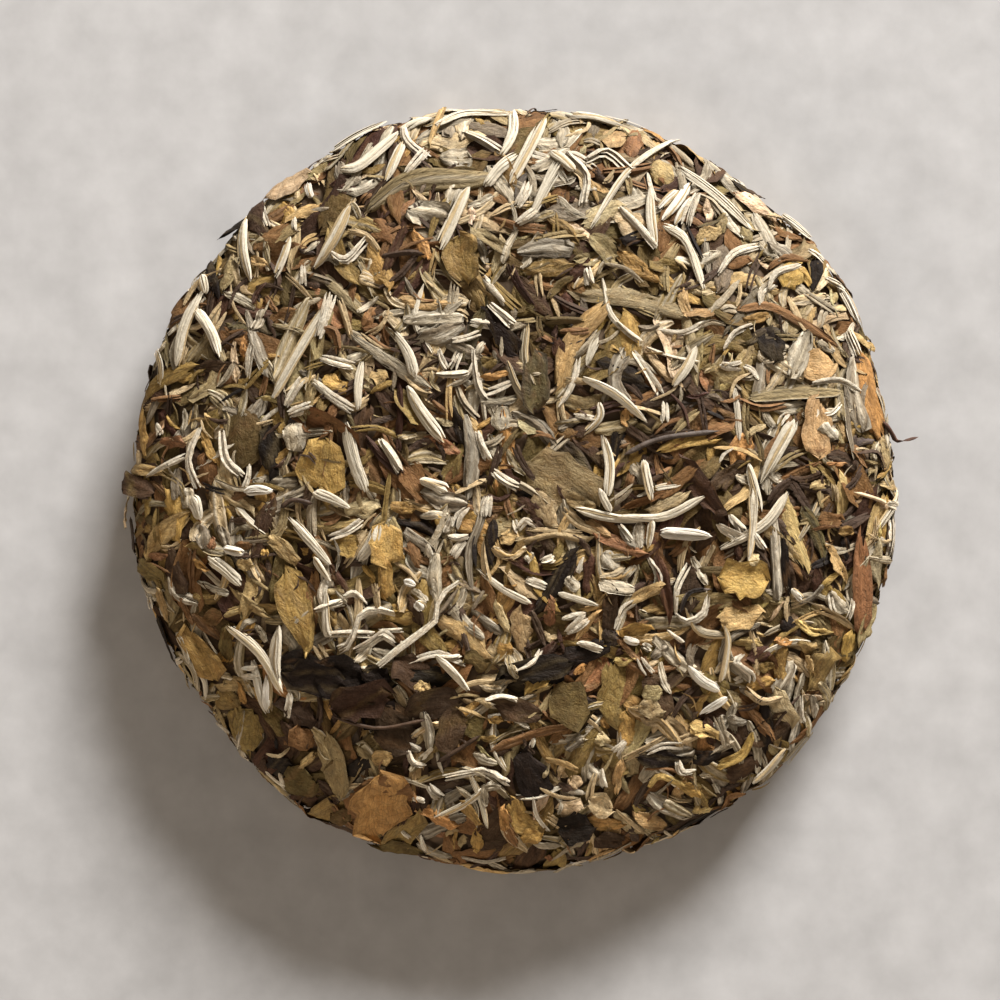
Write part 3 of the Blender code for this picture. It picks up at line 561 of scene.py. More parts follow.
# %% A heap of like pieces
class Kind:
    """All the pieces of one kind, as grids of the same size. thick: what one adds to the bed."""

    def __init__(self, name, along, across, thick, ring=False):
        self.name, self.along, self.across, self.ring = name, along, across, ring
        self.thick = thick
        self.points, self.tints, self.grain = [], [], []
        u = np.linspace(0.0, 1.0, along)
        v = np.linspace(-1.0, 1.0, across)
        if ring:
            v = -1.0 + 2.0 * np.arange(across) / across
        self.u, self.v = np.meshgrid(u, v, indexing="ij")


DARK_TONES = ("black", "umber", "maroon", "violet", "moss", "brown")
FLAT = Kind("flat_leaves", 10, 9, 0.22)
DARK = Kind("dark_leaves", 9, 8, 0.25)
CHIP = Kind("leaf_chips", 5, 4, 0.12)
ROLLED = Kind("rolled_leaves", 11, 10, 0.2)
DARK_ROLLED = Kind("dark_rolled_leaves", 10, 9, 0.2)
BUD_BODY = Kind("bud_bodies", 9, 8, 0.1, ring=True)
SCALE = Kind("bud_scales", 9, 4, 0.08)
SHRED = Kind("shreds", 7, 3, 0.1)
STEM = Kind("stems", 10, 6, 0.1, ring=True)


# %% [markdown]
# A piece is laid on its chart, where the bed gives its lift, and the chart then takes it to the
# cake. Buds and shreds were pressed in last, so their ceiling is a little higher than that of leaf.

# %% Laying one piece
NOT_OUT = (0.0, 0.0)     # a piece that doesn't stand out past the edge
PAINTED_LIGHT_DOWN = 0.0015      # painted light: tints lighter low on the cake, by this share for each mm
GRAIN_SPREAD = 400       # mm: each piece takes its grain from another part of the pattern
ROLL_RISE = 0.2          # mm by which a rolled leaf may pass the pressed height
STEM_RISE = 0.3
SHRED_RISE = 0.55
BUD_RISE = 0.75


class Place:
    """Where pieces are being laid: a chart, its bed and the pressed height there."""

    def __init__(self, chart, bed, ceiling):
        self.chart, self.bed, self.ceiling = chart, bed, ceiling


def lay(kind, place, rng, xy, shape, tint, size, out, ceiling=0.0):
    """Rest a piece on the bed, take it to the cake's surface and add it to its kind."""
    x, y = xy[..., 0], xy[..., 1]
    lift = place.bed.lay(x, y, shape, place.ceiling + ceiling, kind.thick)
    lift = np.minimum(lift, PROUD) + np.interp(kind.u, np.linspace(0, 1, len(out)), out)
    length, width = size
    along = kind.u * length + rng.uniform(0, GRAIN_SPREAD)
    across = kind.v * width / 2 + rng.uniform(0, GRAIN_SPREAD)
    kind.points.append(place.chart(x, y, lift))
    # Painted light: each tint is made lighter low on the cake and darker high on it, to even out the
    # light and shade that the low key light gives the dome.
    kind.tints.append(tint * (1 - PAINTED_LIGHT_DOWN * y)[..., None])
    kind.grain.append(np.stack([along, across], axis=-1))


# %% [markdown]
# A flat leaf is a piece of withered blade, broken before or in the press. It is a grid whose sides
# are broken into straight runs and whose ends slant, then folded, leant over and crumpled a
# little. Its colour changes over its face: darker at the rim, partly as a browned edge and partly
# as painted shade where the rim curls down, and often along the midrib, with stains where the
# leaf was bruised. A chip is a crumb of the same leaf.

# %% Flat leaves
STAINS = ("brown", "umber", "olive", "khaki")
STAIN_DARKNESS = 0.8
TORN_SLANT = 0.13        # of the length
TORN_FRAY = 0.07
SIDE_BREAKS = 0.26       # of the half width
NARROW_END = 0.4         # width of an end, as a share of the leaf's
CRUMPLE = 0.2            # mm
CREASE = 0.08            # mm
FOLD = 0.2               # slope on both sides of the fold
LEAN, MOST_LEAN = 0.12, 0.25
RIM_CURL = 0.15          # mm


def add_flake(place, rng, tone, width, points, out=NOT_OUT, kind=None):
    """A torn blade. Half width: w/2 (a + b taper(u)) times a jagged line, its own on each side.

    Relief: a rippled crumple, a fold k |v - v0|, a lean k v, less a curl that starts at the rim.
    """
    kind = kind or (DARK if tone in DARK_TONES else FLAT)
    u, v = kind.u, kind.v
    length = run_of(points)
    slant = rng.normal(0, TORN_SLANT, 2)
    torn = rng.uniform(-TORN_FRAY, TORN_FRAY, (2, v.shape[1]))
    start, end = slant[0] * v[0] + torn[0], slant[1] * v[0] + torn[1]
    share = start + u * (1 + end - start)
    ends = taper(u, *rng.uniform(0.05, 0.55, 2), power=0.7)
    half = width / 2 * (NARROW_END + (1 - NARROW_END) * ends)
    left, right = (1 + jagged(rng, u, 5, SIDE_BREAKS) for _ in "lr")
    half = half * np.where(v > 0, left, right)
    beyond = np.where(share > 1, share - 1, np.minimum(share, 0))[..., None]
    heading = line_at(points, np.array(1.0)) - line_at(points, np.array(0.0))
    xy = line_at(points, share) + beyond * heading
    xy = xy + sideways(points, share) * (half * v)[..., None]
    crumple = ripple(rng, u + rng.uniform(-0.5, 0.5) * v, 4, CRUMPLE)
    crumple = crumple + rng.normal(0, CREASE, u.shape)
    fold = rng.normal(0.0, FOLD) * np.abs(v - rng.uniform(-0.4, 0.4)) * half
    lean = np.clip(rng.normal(0.0, LEAN), -MOST_LEAN, MOST_LEAN) * v * half
    edge = RIM_CURL * np.abs(v) ** 7 + RIM_CURL * np.abs(2 * u - 1) ** 11
    shape = crumple + fold + lean - edge
    tint = flake_tint(rng, tone, u, v)
    if kind is DARK:
        tint = np.minimum(tint, PAINT["brown"])
    lay(kind, place, rng, xy, shape, tint, (length, width), out)


def flake_tint(rng, tone, u, v):
    """The tone with ripples and a midrib, a rim darkened as browned edge and painted shade, a stain.
    """
    shade = rng.uniform(0.8, 1.2) * (1 + ripple(rng, u * 1.3 + v * 0.4, 3, 0.1))
    # The rim is 22 % darker: partly a browned edge, partly painted shade where the rim curls down.
    shade = shade * (1 + rng.normal(0, 0.08, u.shape)) * (1 - 0.22 * np.abs(v) ** 6)
    shade = shade * (1 + rng.choice([-0.2, 0.0, 0.2]) * np.exp(-(v / 0.15) ** 2))
    stain = ripple(rng, u + rng.uniform(-1, 1) * v, 3, 0.4) - 0.1
    stain = np.clip(stain, 0, 0.75)[..., None]
    tint = PAINT[tone] * (1 + rng.normal(0, 0.03, 3)) * shade[..., None]
    return tint * (1 - stain) + PAINT[STAINS[rng.integers(4)]] * STAIN_DARKNESS * stain


def add_chip(place, rng, tone, width, points, out=NOT_OUT):
    """A crumb of broken leaf: a flat leaf with few points."""
    add_flake(place, rng, tone, width, points, out, CHIP)


# %% [markdown]
# A rolled leaf dried before it was pressed, so it is curled across like a gutter, with pleats
# along it. A sine and a cosine of v turn the sheet down at its sides. Each row of points along it
# has its own stripe, and some stripes have more down than others. The tint is also painted
# lighter on the pleats' crests and darker in their troughs: painted light and shade.

# %% Rolled leaves
PLEAT_HEIGHT, DARK_PLEAT_HEIGHT = 0.05, 0.04    # of the width
DARK_DOWN = 0.12         # how much of the down is left on a bruised leaf


def add_roll(place, rng, tone, width, points, out=NOT_OUT):
    """Across: w/2 sin(c v)/sin(c); up: w/2 0.9 (cos(c v) - 1)/2 + pleats cos(pi m v + twist u)."""
    dark = tone in DARK_TONES
    kind = DARK_ROLLED if dark else ROLLED
    u, v = kind.u, kind.v
    length = run_of(points)
    curl = rng.uniform(0.8, 1.4)
    wide = 0.3 + 0.7 * taper(u, *rng.uniform(0.05, 0.6, 2), power=0.9)
    half = width / 2 * wide * (1 + jagged(rng, u, 4, 0.14) + rng.uniform(-0.07, 0.07, (len(u), 1)))
    torn = rng.normal(0, 0.06, (2, v.shape[1])) + rng.normal(0, 0.07, (2, 1)) * v[:1]
    share = torn[0] + u * (1 + torn[1] - torn[0])
    across = np.sin(curl * v) / np.sin(curl)
    xy = line_at(points, share) + sideways(points, share) * (half * across)[..., None]
    pleats = rng.integers(2, 6)
    ridges = np.cos(math.pi * pleats * v + rng.uniform(-2, 2) * u + rng.uniform(0, 6))
    roll = half * 0.45 * (np.cos(curl * v) - 1)
    lean = (rng.normal(0.0, 0.16) + rng.normal(0.0, 0.25) * (2 * u - 1)) * v * half
    pleat_height = DARK_PLEAT_HEIGHT if dark else PLEAT_HEIGHT
    shape = roll + lean + pleat_height * width * ridges * wide
    shape = shape + ripple(rng, u, 3, 0.2) + rng.normal(0, 0.05, u.shape)
    # (1 + 0.1 ridges) is painted light on the pleats' crests and painted shade in their troughs.
    stripe = rng.uniform(0.68, 1.2, v.shape[1])[None, :] * (1 + 0.1 * ridges)
    if dark:
        stripe = 0.9 + 0.5 * (stripe - 0.9)
    stripe = stripe * (1 + ripple(rng, u, 3, 0.08)) * (1 + rng.normal(0, 0.09, u.shape))
    down = np.clip(rng.normal(0.1, 0.4, v.shape[1]), 0, 0.8)[None, :, None]
    down = down * (DARK_DOWN if dark else 1.0)
    tint = PAINT[tone] * (1 - down) + PAINT["cream"] * down
    tint = tint * (stripe * rng.uniform(0.8, 1.2))[..., None]
    lay(kind, place, rng, xy, shape, tint, (length, width), out, ceiling=ROLL_RISE)


# %% [markdown]
# A bud is several scales wrapped round each other. As one smooth spindle it would look like a
# grain of rice, so a slim closed body carries four to six blades that lie side by side along it
# and part towards the tip.

# %% Buds
BODY_WIDTH = 0.88        # of the bud's width
BODY_TIP, BLADE_TIP = 0.12, 0.22    # width at the tips, as a share of the widest
SPREADS = (0.0, 0.6, 1.5)           # how far the blades part at the tip
SPREAD_ODDS = (0.35, 0.4, 0.25)


def add_bud(place, rng, tone, width, points, out=NOT_OUT):
    """A body of radius w/2 taper(u), closed at both ends, under four to six blades."""
    length = run_of(points)
    size = (length, width)
    if rng.random() < 0.5:
        points, out = points[::-1], out[::-1]
    ends = rng.uniform(0.1, 0.4), rng.uniform(0.3, 0.8)
    bright = add_bud_body(place, rng, tone, size, points, out, ends)
    spread = rng.choice(SPREADS, p=SPREAD_ODDS)
    for offset in np.linspace(-0.75, 0.75, rng.integers(4, 7)):
        offset = offset + rng.normal(0, 0.08)
        add_blade(place, rng, tone, size, points, out, ends, bright, spread, offset)


def add_bud_body(place, rng, tone, size, points, out, ends):
    """A flattened tube: across w/2 sin(pi v), up w/2 0.36 cos(pi v). Returns its brightness."""
    u, v = BUD_BODY.u, BUD_BODY.v
    width = size[1]
    half = width / 2 * BODY_WIDTH * (BODY_TIP + (1 - BODY_TIP) * taper(u, *ends, power=0.75))
    half = half * np.where((u == 0) | (u == 1), 0.0, 1.0)
    around = math.pi * v
    xy = line_at(points, u) + sideways(points, u) * (half * np.sin(around))[..., None]
    shape = half * 0.36 * np.cos(around) + width * 0.08
    bright = rng.uniform(0.92, 1.06)
    groove = 1 + rng.normal(0, 0.08, u.shape[1])[None, :]
    # The body is painted 8 % darker than its tone: painted shade in the grooves between the blades
    # over it.
    tint = PAINT[tone] * (bright * 0.92 * groove * np.ones_like(u))[..., None]
    lay(BUD_BODY, place, rng, xy, shape, tint, size, out, ceiling=BUD_RISE)
    return bright


def add_blade(place, rng, tone, size, points, out, ends, bright, spread, offset):
    """A narrow ribbon along the bud at an offset across it, arched by sqrt(1 - offset^2)."""
    u, v = SCALE.u, SCALE.v
    width = size[1]
    first, last = rng.uniform(-0.06, 0.1), rng.uniform(0.8, 1.08)
    share = first + u * (last - first)
    inside = np.clip(share, 0.02, 0.98)
    slim = BLADE_TIP + (1 - BLADE_TIP) * taper(inside, *ends, power=0.75)
    centre = offset * slim * (1 + spread * inside ** 3) + rng.normal(0, 0.18) * (share - 0.5)
    blade = rng.uniform(0.16, 0.34) * (0.2 + 0.8 * taper(u, 0.1, rng.uniform(0.1, 0.6), 0.9))
    side = width / 2 * (centre + blade * v * (1 + jagged(rng, u, 3, 0.25)))
    xy = line_at(points, share) + sideways(points, inside) * side[..., None]
    arch = np.sqrt(np.maximum(1 - offset ** 2, 0.15))
    shape = width * (0.16 * arch - 0.02) * slim + 0.05 * width * (0.4 - np.abs(v))
    shape = shape + rng.normal(0, 0.05) + 0.3 * spread * inside ** 6
    # (1 - 0.08 v^2) darkens each blade's sides: painted shade in the grooves between blades.
    shade = rng.uniform(0.9, 1.07) * bright * (1 - 0.08 * v ** 2) * (1 + ripple(rng, u, 2, 0.06))
    shade = shade * (1 + rng.normal(0, 0.07, v.shape[1]))
    paint = PAINT[tone] if rng.random() < 0.85 else PAINT["beige"]
    tint = paint * shade[..., None]
    lay(SCALE, place, rng, xy, shape - 0.1, tint, size, out, ceiling=BUD_RISE)


# %% [markdown]
# Shreds are torn scales and fibres: narrow ribbons, most of them in tufts of strands that start
# side by side. Stems are woody and round, so they are closed tubes.

# %% Shreds and stems
STRAND = 0.6             # mm of a tuft's width for each strand
STRAND_OVERLAP = 1.7     # how much wider a strand is than its share of the tuft


def add_shred(place, rng, tone, width, points, out=NOT_OUT):
    """A torn ribbon: uneven sides, raised by h sin(pi u), its sides turned down."""
    u, v = SHRED.u, SHRED.v
    length = run_of(points)
    half = width / 2 * (0.4 + 0.6 * taper(u, *rng.uniform(0.05, 0.45, 2), power=0.9))
    half = half * (1 + jagged(rng, u, 4, 0.3))
    slant = rng.normal(0, 0.4, 2) * width / length
    share = u + (slant[0] * (1 - u) + slant[1] * u) * v
    xy = line_at(points, share) + sideways(points, u) * (half * v)[..., None]
    rise = min(0.25, 0.03 * length)
    lean = rng.normal(0, 0.3) * v * half
    shape = rise * np.sin(math.pi * u) + 0.15 * width * (0.5 - np.abs(v)) + lean
    shade = rng.uniform(0.84, 1.12) * (1 + ripple(rng, u, 2, 0.09))
    shade = shade * (1 + rng.normal(0, 0.1) * v)
    tint = PAINT[tone] * shade[..., None]
    lay(SHRED, place, rng, xy, shape, tint, (length, width), out, ceiling=SHRED_RISE)


def add_tuft(place, rng, tone, width, points, out=NOT_OUT):
    """A scale torn into strands: they start side by side and fan out a little."""
    strands = 1 + int(width / STRAND)
    across = np.asarray(points[-1], float) - points[0]
    across = np.array([-across[1], across[0]]) / max(np.linalg.norm(across), 0.1)
    for offset in np.linspace(-0.4, 0.4, strands) if strands > 1 else (0.0,):
        fan = offset * width * np.linspace(0.6, 1.2, len(points)) + rng.normal(0, 0.08, len(points))
        strand = points + fan[:, None] * across + rng.normal(0, 0.2, 2)
        add_shred(place, rng, tone, width / strands * STRAND_OVERLAP, strand, out)


def add_stem(place, rng, tone, width, points, out=NOT_OUT):
    """A tube of radius w/2 (1 - |2u - 1|^14), so that it closes at both ends."""
    u, v = STEM.u, STEM.v
    length = run_of(points)
    half = width / 2 * (1 - np.abs(2 * u - 1) ** 14) * (1 + ripple(rng, u, 3, 0.06))
    xy = line_at(points, u) + sideways(points, u) * (half * np.sin(math.pi * v))[..., None]
    shape = half * np.cos(math.pi * v) + width * 0.3
    shade = rng.uniform(0.8, 1.2) * (1 + 0.2 * np.cos(3 * math.pi * v))
    tint = PAINT[tone] * shade[..., None]
    lay(STEM, place, rng, xy, shape, tint, (length, width), out, ceiling=STEM_RISE)


# %% [markdown]
# Now the laying itself. A scattered piece goes to the lowest of a few random places, which
# spreads them evenly. The upper right of this cake has more buds and silver leaf, and the lower
# part more olive and brown leaf, so the choice of tone depends on the place.

# %% Tones by place
BRIGHT_MIX = {
    "flake": (("khaki", 6), ("beige", 4), ("gold", 4), ("tan", 3), ("olive", 4), ("brown", 1),
              ("umber", 3), ("maroon", 1), ("violet", 2), ("grey", 2)),
    "roll": (("silver", 7), ("grey", 4), ("khaki", 4), ("beige", 4), ("umber", 2), ("brown", 1)),
    "shred": (("cream", 2), ("silver", 5), ("beige", 5), ("khaki", 3), ("grey", 2), ("brown", 2),
              ("umber", 3), ("black", 1)),
}
DULL_MIX = {
    "flake": (("olive", 6), ("gold", 5), ("khaki", 3), ("moss", 3), ("tan", 4), ("brown", 5),
              ("umber", 4), ("orange", 1), ("rust", 1)),
    "roll": (("grey", 3), ("khaki", 5), ("silver", 2), ("tan", 2), ("umber", 2), ("brown", 3),
             ("olive", 3)),
    "shred": (("silver", 3), ("beige", 4), ("khaki", 4), ("tan", 3), ("olive", 3),
              ("brown", 3), ("umber", 3)),
}
PALE_MIX = {
    "flake": (("beige", 4), ("khaki", 4), ("tan", 2), ("gold", 1), ("peach", 1)),
    "roll": (("silver", 5), ("beige", 3), ("khaki", 2), ("grey", 1)),
    "shred": (("cream", 4), ("silver", 3), ("beige", 3)),
}
DEEP_MIX = (("umber", 5), ("black", 1), ("maroon", 2), ("brown", 4), ("moss", 3))
BASE_MIX = (("umber", 3), ("maroon", 1), ("brown", 5), ("moss", 3), ("olive", 2))
BUD_MIX = (("cream", 2), ("silver", 2), ("beige", 1))
FINE_MIX = (("silver", 3), ("beige", 3), ("khaki", 3), ("tan", 2), ("brown", 3), ("umber", 3))


def pick(rng, mix):
    """One tone of a weighted list."""
    weights = np.array([weight for _, weight in mix], float)
    return mix[rng.choice(len(mix), p=weights / weights.sum())][0]


PATCH_SIZE = 15.0        # mm between the patches of mostly dark and mostly pale leaf
PATCH_COUNT = 20         # patches in each direction
PATCH_STRENGTH = 0.36    # how far a patch's value lies from 0, as a standard deviation
PATCH_ODDS = 1.3         # how often a patch decides the tone, times its strength there
PATCHES = np.random.default_rng(7).normal(0, PATCH_STRENGTH, (PATCH_COUNT, PATCH_COUNT))
CENTRE_BRIGHTNESS = 0.55
BRIGHTNESS_SPAN = 170.0  # mm
BRIGHTER_UP, BRIGHTER_RIGHT = 0.35, 0.15    # gained over that span


def patch_at(spot):
    """A smooth random field over the chart, straight lines between the values of PATCHES."""
    row, column = np.asarray(spot) / PATCH_SIZE + (PATCH_COUNT - 1) / 2
    i, j = (int(np.clip(place, 0, PATCH_COUNT - 2)) for place in (row, column))
    s, t = row - i, column - j
    near = PATCHES[i, j] * (1 - t) + PATCHES[i, j + 1] * t
    far = PATCHES[i + 1, j] * (1 - t) + PATCHES[i + 1, j + 1] * t
    return near * (1 - s) + far * s


def tone_at(rng, sort, spot):
    """A tone for a sort of piece at a place on the dome's chart: brighter to the upper right."""
    patch = patch_at(spot)
    if rng.random() < PATCH_ODDS * abs(patch):
        return pick(rng, PALE_MIX[sort] if patch > 0 else DEEP_MIX)
    slope = (BRIGHTER_UP * spot[1] + BRIGHTER_RIGHT * spot[0]) / BRIGHTNESS_SPAN
    brightness = CENTRE_BRIGHTNESS + slope
    mix = BRIGHT_MIX if rng.random() < brightness else DULL_MIX
    return pick(rng, mix[sort])


# %% [markdown]
# Gaps are filled the same way, with one more rule: a piece is left out when even the lowest of
# its places lies higher than a limit. So the pieces that the eye knows stay in view.

# %% Scattering
LEAFY_BELOW = -32.0      # mm from the centre: lower on the cake, whole leaves show
BEND = 0.22              # of half the length: how far a scattered piece is bent sideways
SHOWN_BEND = 0.04        # the same for a piece with two points, of its whole length


def scatter(place, rng, count, near, far, sort, add, length, width, tones=None, tries=5,
            around=False, lowest=9.0, out=0.0, left_out=0.0):
    """Lay pieces of one sort between two distances from the chart's centre, in low places.

    around: they lie along the edge. lowest: no place higher than this is taken. out: how far one
    may stand out past the edge. left_out: the share that isn't laid where whole leaves show.
    """
    for _ in range(count):
        reach = np.sqrt(rng.uniform(near ** 2, far ** 2, tries))
        angle = rng.uniform(0, math.tau, tries)
        x, y = reach * np.cos(angle), reach * np.sin(angle)
        step = rng.uniform(-2, 2, (2, tries))
        low = place.bed.height[place.bed.cells(x, y)]
        low = low + place.bed.height[place.bed.cells(x + step[0], y + step[1])]
        best = int(np.argmin(low))
        if low[best] / 2 > lowest:
            continue
        spot = np.array([x[best], y[best]])
        if spot[1] < LEAFY_BELOW and rng.random() < left_out:
            continue
        turn = rng.uniform(0, math.tau)
        if around:
            turn = angle[best] + math.pi / 2 + rng.normal(0, 0.5)
        size = rng.uniform(*length)
        ahead = np.array([math.cos(turn), math.sin(turn)]) * size / 2
        bend = np.array([-ahead[1], ahead[0]]) * rng.normal(0, BEND)
        points = np.array([spot - ahead, spot + bend, spot + ahead])
        tone = pick(rng, tones) if tones else tone_at(rng, sort, spot)
        add(place, rng, tone, rng.uniform(*width), points, rng.uniform(0, out, 2))


def lay_shown(place, rng, group, add):
    """Lay the pieces of one of the lists above, read straight down on the cake."""
    for tone, pieces in group.items():
        for width, *numbers in pieces:
            points, out = chart_from_above(np.reshape(numbers, (-1, 2)))
            if len(points) == 2:
                middle = points.mean(axis=0)
                ahead = points[1] - points[0]
                middle = middle + np.array([-ahead[1], ahead[0]]) * rng.normal(0, SHOWN_BEND)
                points = np.vstack([points[0], middle, points[1]])
            add(place, rng, tone, width, points, out)


def bed_level(place, far, share):
    """The lift that a share (in percent) of the bed lies under, out to a distance."""
    cell = (np.arange(len(place.bed.height)) * CELL - place.bed.reach) ** 2
    inside = place.bed.height[cell[:, None] + cell[None, :] < far ** 2]
    print("lift in mm, 10%, half, 90%:", np.percentile(inside, (10, 50, 90)).round(2))
    return float(np.percentile(inside, share))


# %% [markdown]
# The dome and edge first: a deep layer of brown and dark leaf, then mixed leaf, chips and rolls,
# then the pieces that show, and last hair-thin shreds in what gaps are left.

# %% Lay the dome and the edge
rng = np.random.default_rng(41)
BELOW_EDGE = 17          # mm past the widest outline: most of the way down the edge
BED_MARGIN = 12          # mm of bed for pieces that run past the last place
EDGE_START = 6           # mm: pieces along the edge start this far inside the outline
OUTLINE_IN, OUTLINE_OUT = 4, 5    # mm: the band of pieces that roughen the outline
DOME_REACH = EDGE_LENGTH + BELOW_EDGE
dome = Place(dome_point, Bed(DOME_REACH + BED_MARGIN, rng), PRESSED)
edge = (EDGE_LENGTH - EDGE_START, DOME_REACH)
outline = (EDGE_LENGTH - OUTLINE_IN, EDGE_LENGTH + OUTLINE_OUT)
scatter(dome, rng, 400, 0, DOME_REACH, "flake", add_flake, (11, 20), (4, 8), BASE_MIX)
scatter(dome, rng, 700, 0, DOME_REACH, "flake", add_chip, (3, 8.5), (1.0, 2.8))
scatter(dome, rng, 440, 0, DOME_REACH, "flake", add_flake, (8, 20), (2.4, 5.2))
scatter(dome, rng, 440, 0, DOME_REACH, "roll", add_roll, (7, 17), (1.8, 4.4))
scatter(dome, rng, 30, 0, EDGE_LENGTH, "bud", add_bud, (11, 19), (1.4, 2.1), BUD_MIX)
scatter(dome, rng, 90, *edge, "flake", add_flake, (7, 16), (2.5, 5), around=True)
scatter(dome, rng, 110, *edge, "roll", add_roll, (8, 18), (1.6, 4), around=True)
scatter(dome, rng, 24, *edge, "bud", add_bud, (9, 16), (1.5, 2.4), BUD_MIX, around=True)
scatter(dome, rng, 25, *outline, "roll", add_roll, (4, 10), (1.2, 2.4), around=True, out=1.0)
scatter(dome, rng, 40, *outline, "shred", add_shred, (3, 7), (0.6, 1.3), around=True, out=1.0)
scatter(dome, rng, 480, 0, DOME_REACH, "shred", add_tuft, (5, 14), (0.6, 1.8), left_out=0.6)
lay_shown(dome, rng, FLAKES, add_flake)
lay_shown(dome, rng, DARK_BAND, add_flake)
gap = bed_level(dome, EDGE_LENGTH, 14)
scatter(dome, rng, 400, 0, DOME_REACH, "flake", add_chip, (2.5, 8), (0.8, 2.2), tries=9,
        lowest=gap)
scatter(dome, rng, 250, 0, DOME_REACH, "roll", add_roll, (4, 11), (1.0, 2.4), tries=9, lowest=gap,
        left_out=0.5)
lay_shown(dome, rng, ROLLS, add_roll)
gap = bed_level(dome, EDGE_LENGTH, 10)
scatter(dome, rng, 400, 0, DOME_REACH, "shred", add_tuft, (3, 11), (0.4, 1.3), tries=9, lowest=gap,
        left_out=0.7)
lay_shown(dome, rng, STEMS, add_stem)
lay_shown(dome, rng, BUDS, add_bud)
lay_shown(dome, rng, SHREDS, add_tuft)
gap = bed_level(dome, EDGE_LENGTH, 10)
scatter(dome, rng, 350, 0, DOME_REACH, "shred", add_shred, (1.5, 6), (0.25, 0.6), FINE_MIX, tries=9,
        lowest=gap, left_out=0.3)

# %% [markdown]
# The underside doesn't show in the photograph. It is finished like the dome, but its pieces lie
# flat, because the base of the press is flat.

# %% Lay the underside
UNDER_MARGIN = 10        # mm past the widest outline: the underside's chart starts here
UNDER_PRESSED = 0.1      # mm: this side is pressed nearly level
UNDER_REACH = FULL_LENGTH - EDGE_LENGTH - UNDER_MARGIN
under = Place(underside_point, Bed(UNDER_REACH + BED_MARGIN, rng), UNDER_PRESSED)
scatter(under, rng, 250, 0, UNDER_REACH, "flake", add_flake, (10, 20), (4, 8), DEEP_MIX)
scatter(under, rng, 280, 0, UNDER_REACH, "flake", add_flake, (7, 16), (3, 6))
scatter(under, rng, 500, 0, UNDER_REACH, "flake", add_chip, (2, 6), (1.2, 3.4))
scatter(under, rng, 220, 0, UNDER_REACH, "roll", add_roll, (7, 18), (1.8, 4.2))
scatter(under, rng, 70, 0, UNDER_REACH, "bud", add_bud, (9, 18), (1.6, 2.6), BUD_MIX)
scatter(under, rng, 700, 0, UNDER_REACH, "shred", add_shred, (2, 9), (0.5, 1.4))

# %% [markdown]
# Each kind becomes one mesh. Quads run from point to point of every grid at once, so the whole
# cake takes a second or two. A ring kind joins its last column to its first.


# %% From grids to meshes
def grid_quads(count, along, across, ring):
    """Corner indices of all quads of count grids, each going round so that it faces outwards."""
    columns = across if ring else across - 1
    i, j = np.meshgrid(np.arange(along - 1), np.arange(columns), indexing="ij")
    beside = (j + 1) % across
    one = np.stack([i * across + j, (i + 1) * across + j, (i + 1) * across + beside,
                    i * across + beside], axis=-1).reshape(-1, 4)
    return (one[None] + np.arange(count)[:, None, None] * along * across).reshape(-1, 4)


def mesh_object(name, points, quads, tints=None, grain=None):
    """A mesh from arrays, smooth shaded, with its tint and its grain map."""
    mesh = bpy.data.meshes.new(name)
    mesh.vertices.add(len(points))
    mesh.vertices.foreach_set("co", (points * MM).astype(np.float32).ravel())
    mesh.loops.add(quads.size)
    mesh.loops.foreach_set("vertex_index", quads.astype(np.int32).ravel())
    mesh.polygons.add(len(quads))
    mesh.polygons.foreach_set("loop_start", np.arange(0, quads.size, 4, dtype=np.int32))
    mesh.update(calc_edges=True)
    mesh.polygons.foreach_set("use_smooth", np.ones(len(quads), bool))
    if tints is not None:
        attribute = mesh.color_attributes.new("tint", "FLOAT_COLOR", "POINT")
        colours = np.column_stack([np.clip(tints, 0, 1), np.ones(len(tints))])
        attribute.data.foreach_set("color", colours.astype(np.float32).ravel())
        uv = mesh.uv_layers.new(name="grain")
        uv.data.foreach_set("uv", grain[quads.ravel()].astype(np.float32).ravel())
    piece = bpy.data.objects.new(name, mesh)
    bpy.context.scene.collection.objects.link(piece)
    return piece


def kind_object(kind):
    """All pieces of a kind as one object."""
    points = np.array(kind.points)
    quads = grid_quads(len(points), kind.along, kind.across, kind.ring)
    tints = np.array(kind.tints).reshape(-1, 3)
    grain = np.array(kind.grain).reshape(-1, 2)
    piece = mesh_object(kind.name, points.reshape(-1, 3), quads, tints, grain)
    print(f"{kind.name}: {len(points)} pieces, {2 * len(quads)} triangles")
    return piece


# %% [markdown]
# The core is what shows at the bottom of the deepest gaps: leaf packed by the press until no
# single piece can be told. It is a closed turned body with lumps the size of a folded leaf.

# %% The core
CORE_ALONG, CORE_AROUND = 90, 220
LUMP = 0.25              # mm


def core_object():
    """A turned body, sunk by a depth that ripples: sin(0.9 s + 3 sin 9a) + sin(23a + 0.5 s)."""
    reach = np.linspace(0.5, FULL_LENGTH - 0.5, CORE_ALONG)
    angle = np.linspace(0, math.tau, CORE_AROUND, endpoint=False)
    reach, angle = np.meshgrid(reach, angle, indexing="ij")
    lumps = np.sin(reach * 0.9 + 3 * np.sin(9 * angle)) + np.sin(23 * angle + reach * 0.5)
    points = on_surface(reach, angle, -CORE_DEPTH + LUMP * lumps)
    points[0] = points[0].mean(axis=0)
    points[-1] = points[-1].mean(axis=0)
    quads = grid_quads(1, CORE_ALONG, CORE_AROUND, True)
    return mesh_object("core", points.reshape(-1, 3), quads)


# %% [markdown]
# All leaf shares one set-up. Its tint comes from the mesh. Fibres run along the piece as stretched
# noise, veins are the walls between cells, and blotches of another hue break up the colour. The
# same patterns raise the surface, so that the fibres and the crumpling catch the low light.

